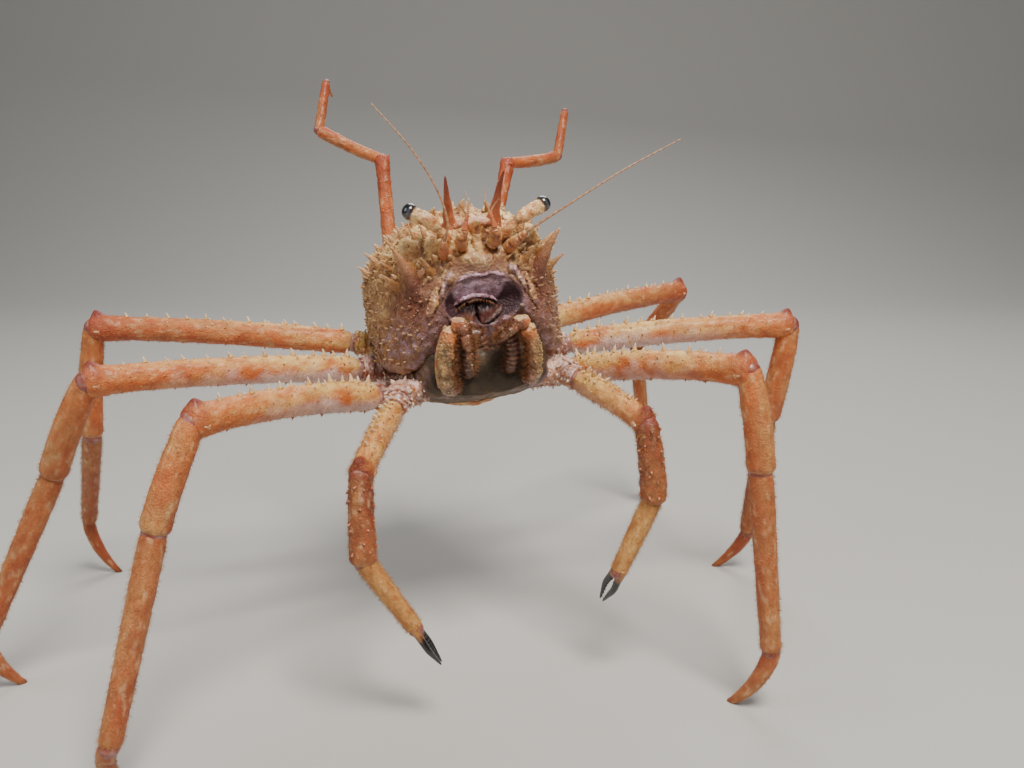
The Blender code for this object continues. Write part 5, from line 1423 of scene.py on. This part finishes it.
for (number, side_name), (knee, *_) in STANCE.items():
    sign = 1.0 if side_name == "left" else -1.0
    kind = "cheliped" if number == 1 else f"leg_{number}"
    chance = random.Random(300 * number + (side_name == "left"))
    seed = 90.0 + number + 6.0 * sign
    hip = np.array((HIPS[number][0] * sign, *HIPS[number][1:]))
    reach = np.array(INTO_BODY @ Vector(np.array(knee, float) + SHIFT)) - hip
    reach /= np.linalg.norm(reach)
    half, length = MERUS_HALF[number], COXA_REACH[number]
    inner = np.array((hip[0] * 0.55, min(hip[1], 48.0), hip[2] - 0.5))
    away = (hip - inner) / np.linalg.norm(hip - inner)
    start = hip - away * 12.0 if number < 5 else inner
    coxa, way, _ = sleeve(
        f"{kind}_coxa_{side_name}",
        (start, hip - away * 4.0, hip + reach * 0.2 * length, hip + reach * 0.58 * length),
        widths(half, (0.0, 0.98), (0.35, 1.02), (0.62, 1.10), (0.88, 1.14), (1.0, 1.02)), 40, 64, 0.98,
        (0.0, 0.1, 1.0), 0.07)
    ring, ring_way, _ = sleeve(
        f"{kind}_ischium_{side_name}",
        (hip + reach * 0.50 * length, hip + reach * 0.75 * length, hip + reach * (length + 0.3)),
        widths(half, (0.0, 0.90), (0.3, 1.0), (0.62, 0.93), (0.72, 0.99), (1.0, 0.92)), 40, 40, 0.95,
        (0.0, 0.1, 1.0), 0.08)
    rows, knobs = [], []
    for piece, share, size in ((coxa, way, 1.0), (ring, ring_way, 0.75)):
        roughen(piece, 3.6, 0.42, seed, 0.6)
        spots, out = points_of(piece), normals_of(piece)
        tone, speck = grain(spots, 5.0, seed + 1.0, 3), grain(spots, 1.9, seed + 2.0, 2)
        colors = blend(BROWN_ORANGE if number > 1 else shell_color(186, 116, 62), UMBER, 0.25 - 0.9 * tone)
        pale = PALE_LILAC if number < 4 else YELLOW_CREAM
        # The pale lilac or cream mottling is stronger on faces turned up and forward, partly as painted
        # highlight.
        colors = blend(colors, pale,
                       np.clip(0.18 + 1.1 * speck + 0.35 * out[:, 2] - 0.2 * out[:, 1], 0.0, 0.85))
        paint(piece, blend(colors, shell_color(132, 62, 44), 0.6 * bell((share - 0.97) / 0.03)))
        piece.data.materials.append(root_shell)
        for i in scattered(spots, (share > 0.15) & (share < 0.95), 3.4, chance):
            lean = out[i] + reach * 0.3
            lean /= np.linalg.norm(lean)
            tall = size * chance.uniform(1.0, 2.4) * (1.0 if number < 5 else 0.6)
            rows.append((spots[i] - lean * 0.4, spots[i] + lean * tall, 0.34 * tall + 0.3, pale * 0.8,
                         PALE_TIP))
        knobs += beads_on(spots, out, (share > 0.05) & (share < 0.98), 1.35, (0.25, 0.55), pale, chance,
                          foot=0.7, tones=(0.8, 1.0))
    root_spines = copies(f"{kind}_root_{side_name}_spines", small_spine, rows)
    grains = copies(f"{kind}_root_{side_name}_granules", bead, knobs)
    for piece in (root_spines, grains):
        piece.data.materials.append(root_shell)
    skin, _, _ = sleeve(
        f"{kind}_root_{side_name}_skin",
        (hip + reach * 0.35 * length, hip + reach * 0.55 * length, hip + reach * 0.75 * length),
        ((0.0, half * 0.9), (0.5, half * 0.92), (1.0, half * 0.86)), 28, 24, 0.96, (0.0, 0.1, 1.0), 0.3)
    paint(skin,
          blend(shell_color(176, 96, 66), PALE_LILAC, 0.4 + 0.4 * grain(points_of(skin), 2.0, seed, 2)))
    skin.data.materials.append(joint_skin)
    for piece in (coxa, ring, root_spines, grains, skin):
        dress(piece, BODY, "underside_shell")


# Abdomen: six flat plates and a tail plate, hinged in a row and folded forward against the sternum. Each
# is thin orange shell with a raised middle and a soft seam behind it.
ABDOMEN_PATH = ((54.5, 12.5, 2.4), (57.0, 3.0, 2.6), (51.0, -8.0, 3.0), (40.0, -19.0, 3.3),
                (26.0, -32.0, 3.5), (10.0, -41.0, 3.0), (-4.0, -42.4, 2.3), (-12.0, -42.2, 1.5))
ABDOMEN_BREADTH = 4.8
PLATES = 7
steps = np.linspace(0.0, 1.0, len(ABDOMEN_PATH))
girth = [(share, row[2]) for share, row in zip(steps, ABDOMEN_PATH)]
abdomen, way, _ = sleeve(
    "abdomen_plates", [(0.0, row[0], row[1]) for row in ABDOMEN_PATH], girth, 72, 210, ABDOMEN_BREADTH,
    (0.0, 0.35, 1.0), 0.03)
spots, out = points_of(abdomen), normals_of(abdomen)
seam = bell((((way * PLATES + 0.5) % 1.0) - 0.5) / 0.05)
across = np.abs(spots[:, 0]) / np.maximum(1.0, np.interp(way, *zip(*girth)) * ABDOMEN_BREADTH)
rise = -0.9 * seam + 0.55 * bell(across / 0.22) - 0.5 * bell(
    (across - 0.42) / 0.08) + 0.3 * grain(spots, 3.5, 101.0, 3)
rise += 0.45 * np.maximum(0.0, grain(spots, 1.7, 102.0, 2) - 0.1)
put(abdomen, spots + out * rise[:, None])
tone = grain(spots, 5.0, 103.0, 3)
colors = blend(shell_color(202, 124, 74), CREAM, 0.35 + 0.8 * tone)
colors = blend(colors, BROWN_ORANGE, 0.6 * np.clip(1.0 - 1.4 * way, 0.0, 1.0))
paint(abdomen, blend(colors, UMBER, 0.7 * seam + 0.3 * bell((across - 0.42) / 0.10)))
abdomen.data.materials.append(sternum_shell)
chance = random.Random(41)
knobs = beads_on(spots, out, (out[:, 2] < 0.4) & (seam < 0.3), 1.6, (0.25, 0.5), CREAM, chance, 1.0, 0.7)
abdomen_granules = copies("abdomen_granules", bead, knobs)
abdomen_granules.data.materials.append(root_shell)
dress(abdomen, BODY, "underside_shell", "abdomen")
dress(abdomen_granules, BODY, "underside_shell")
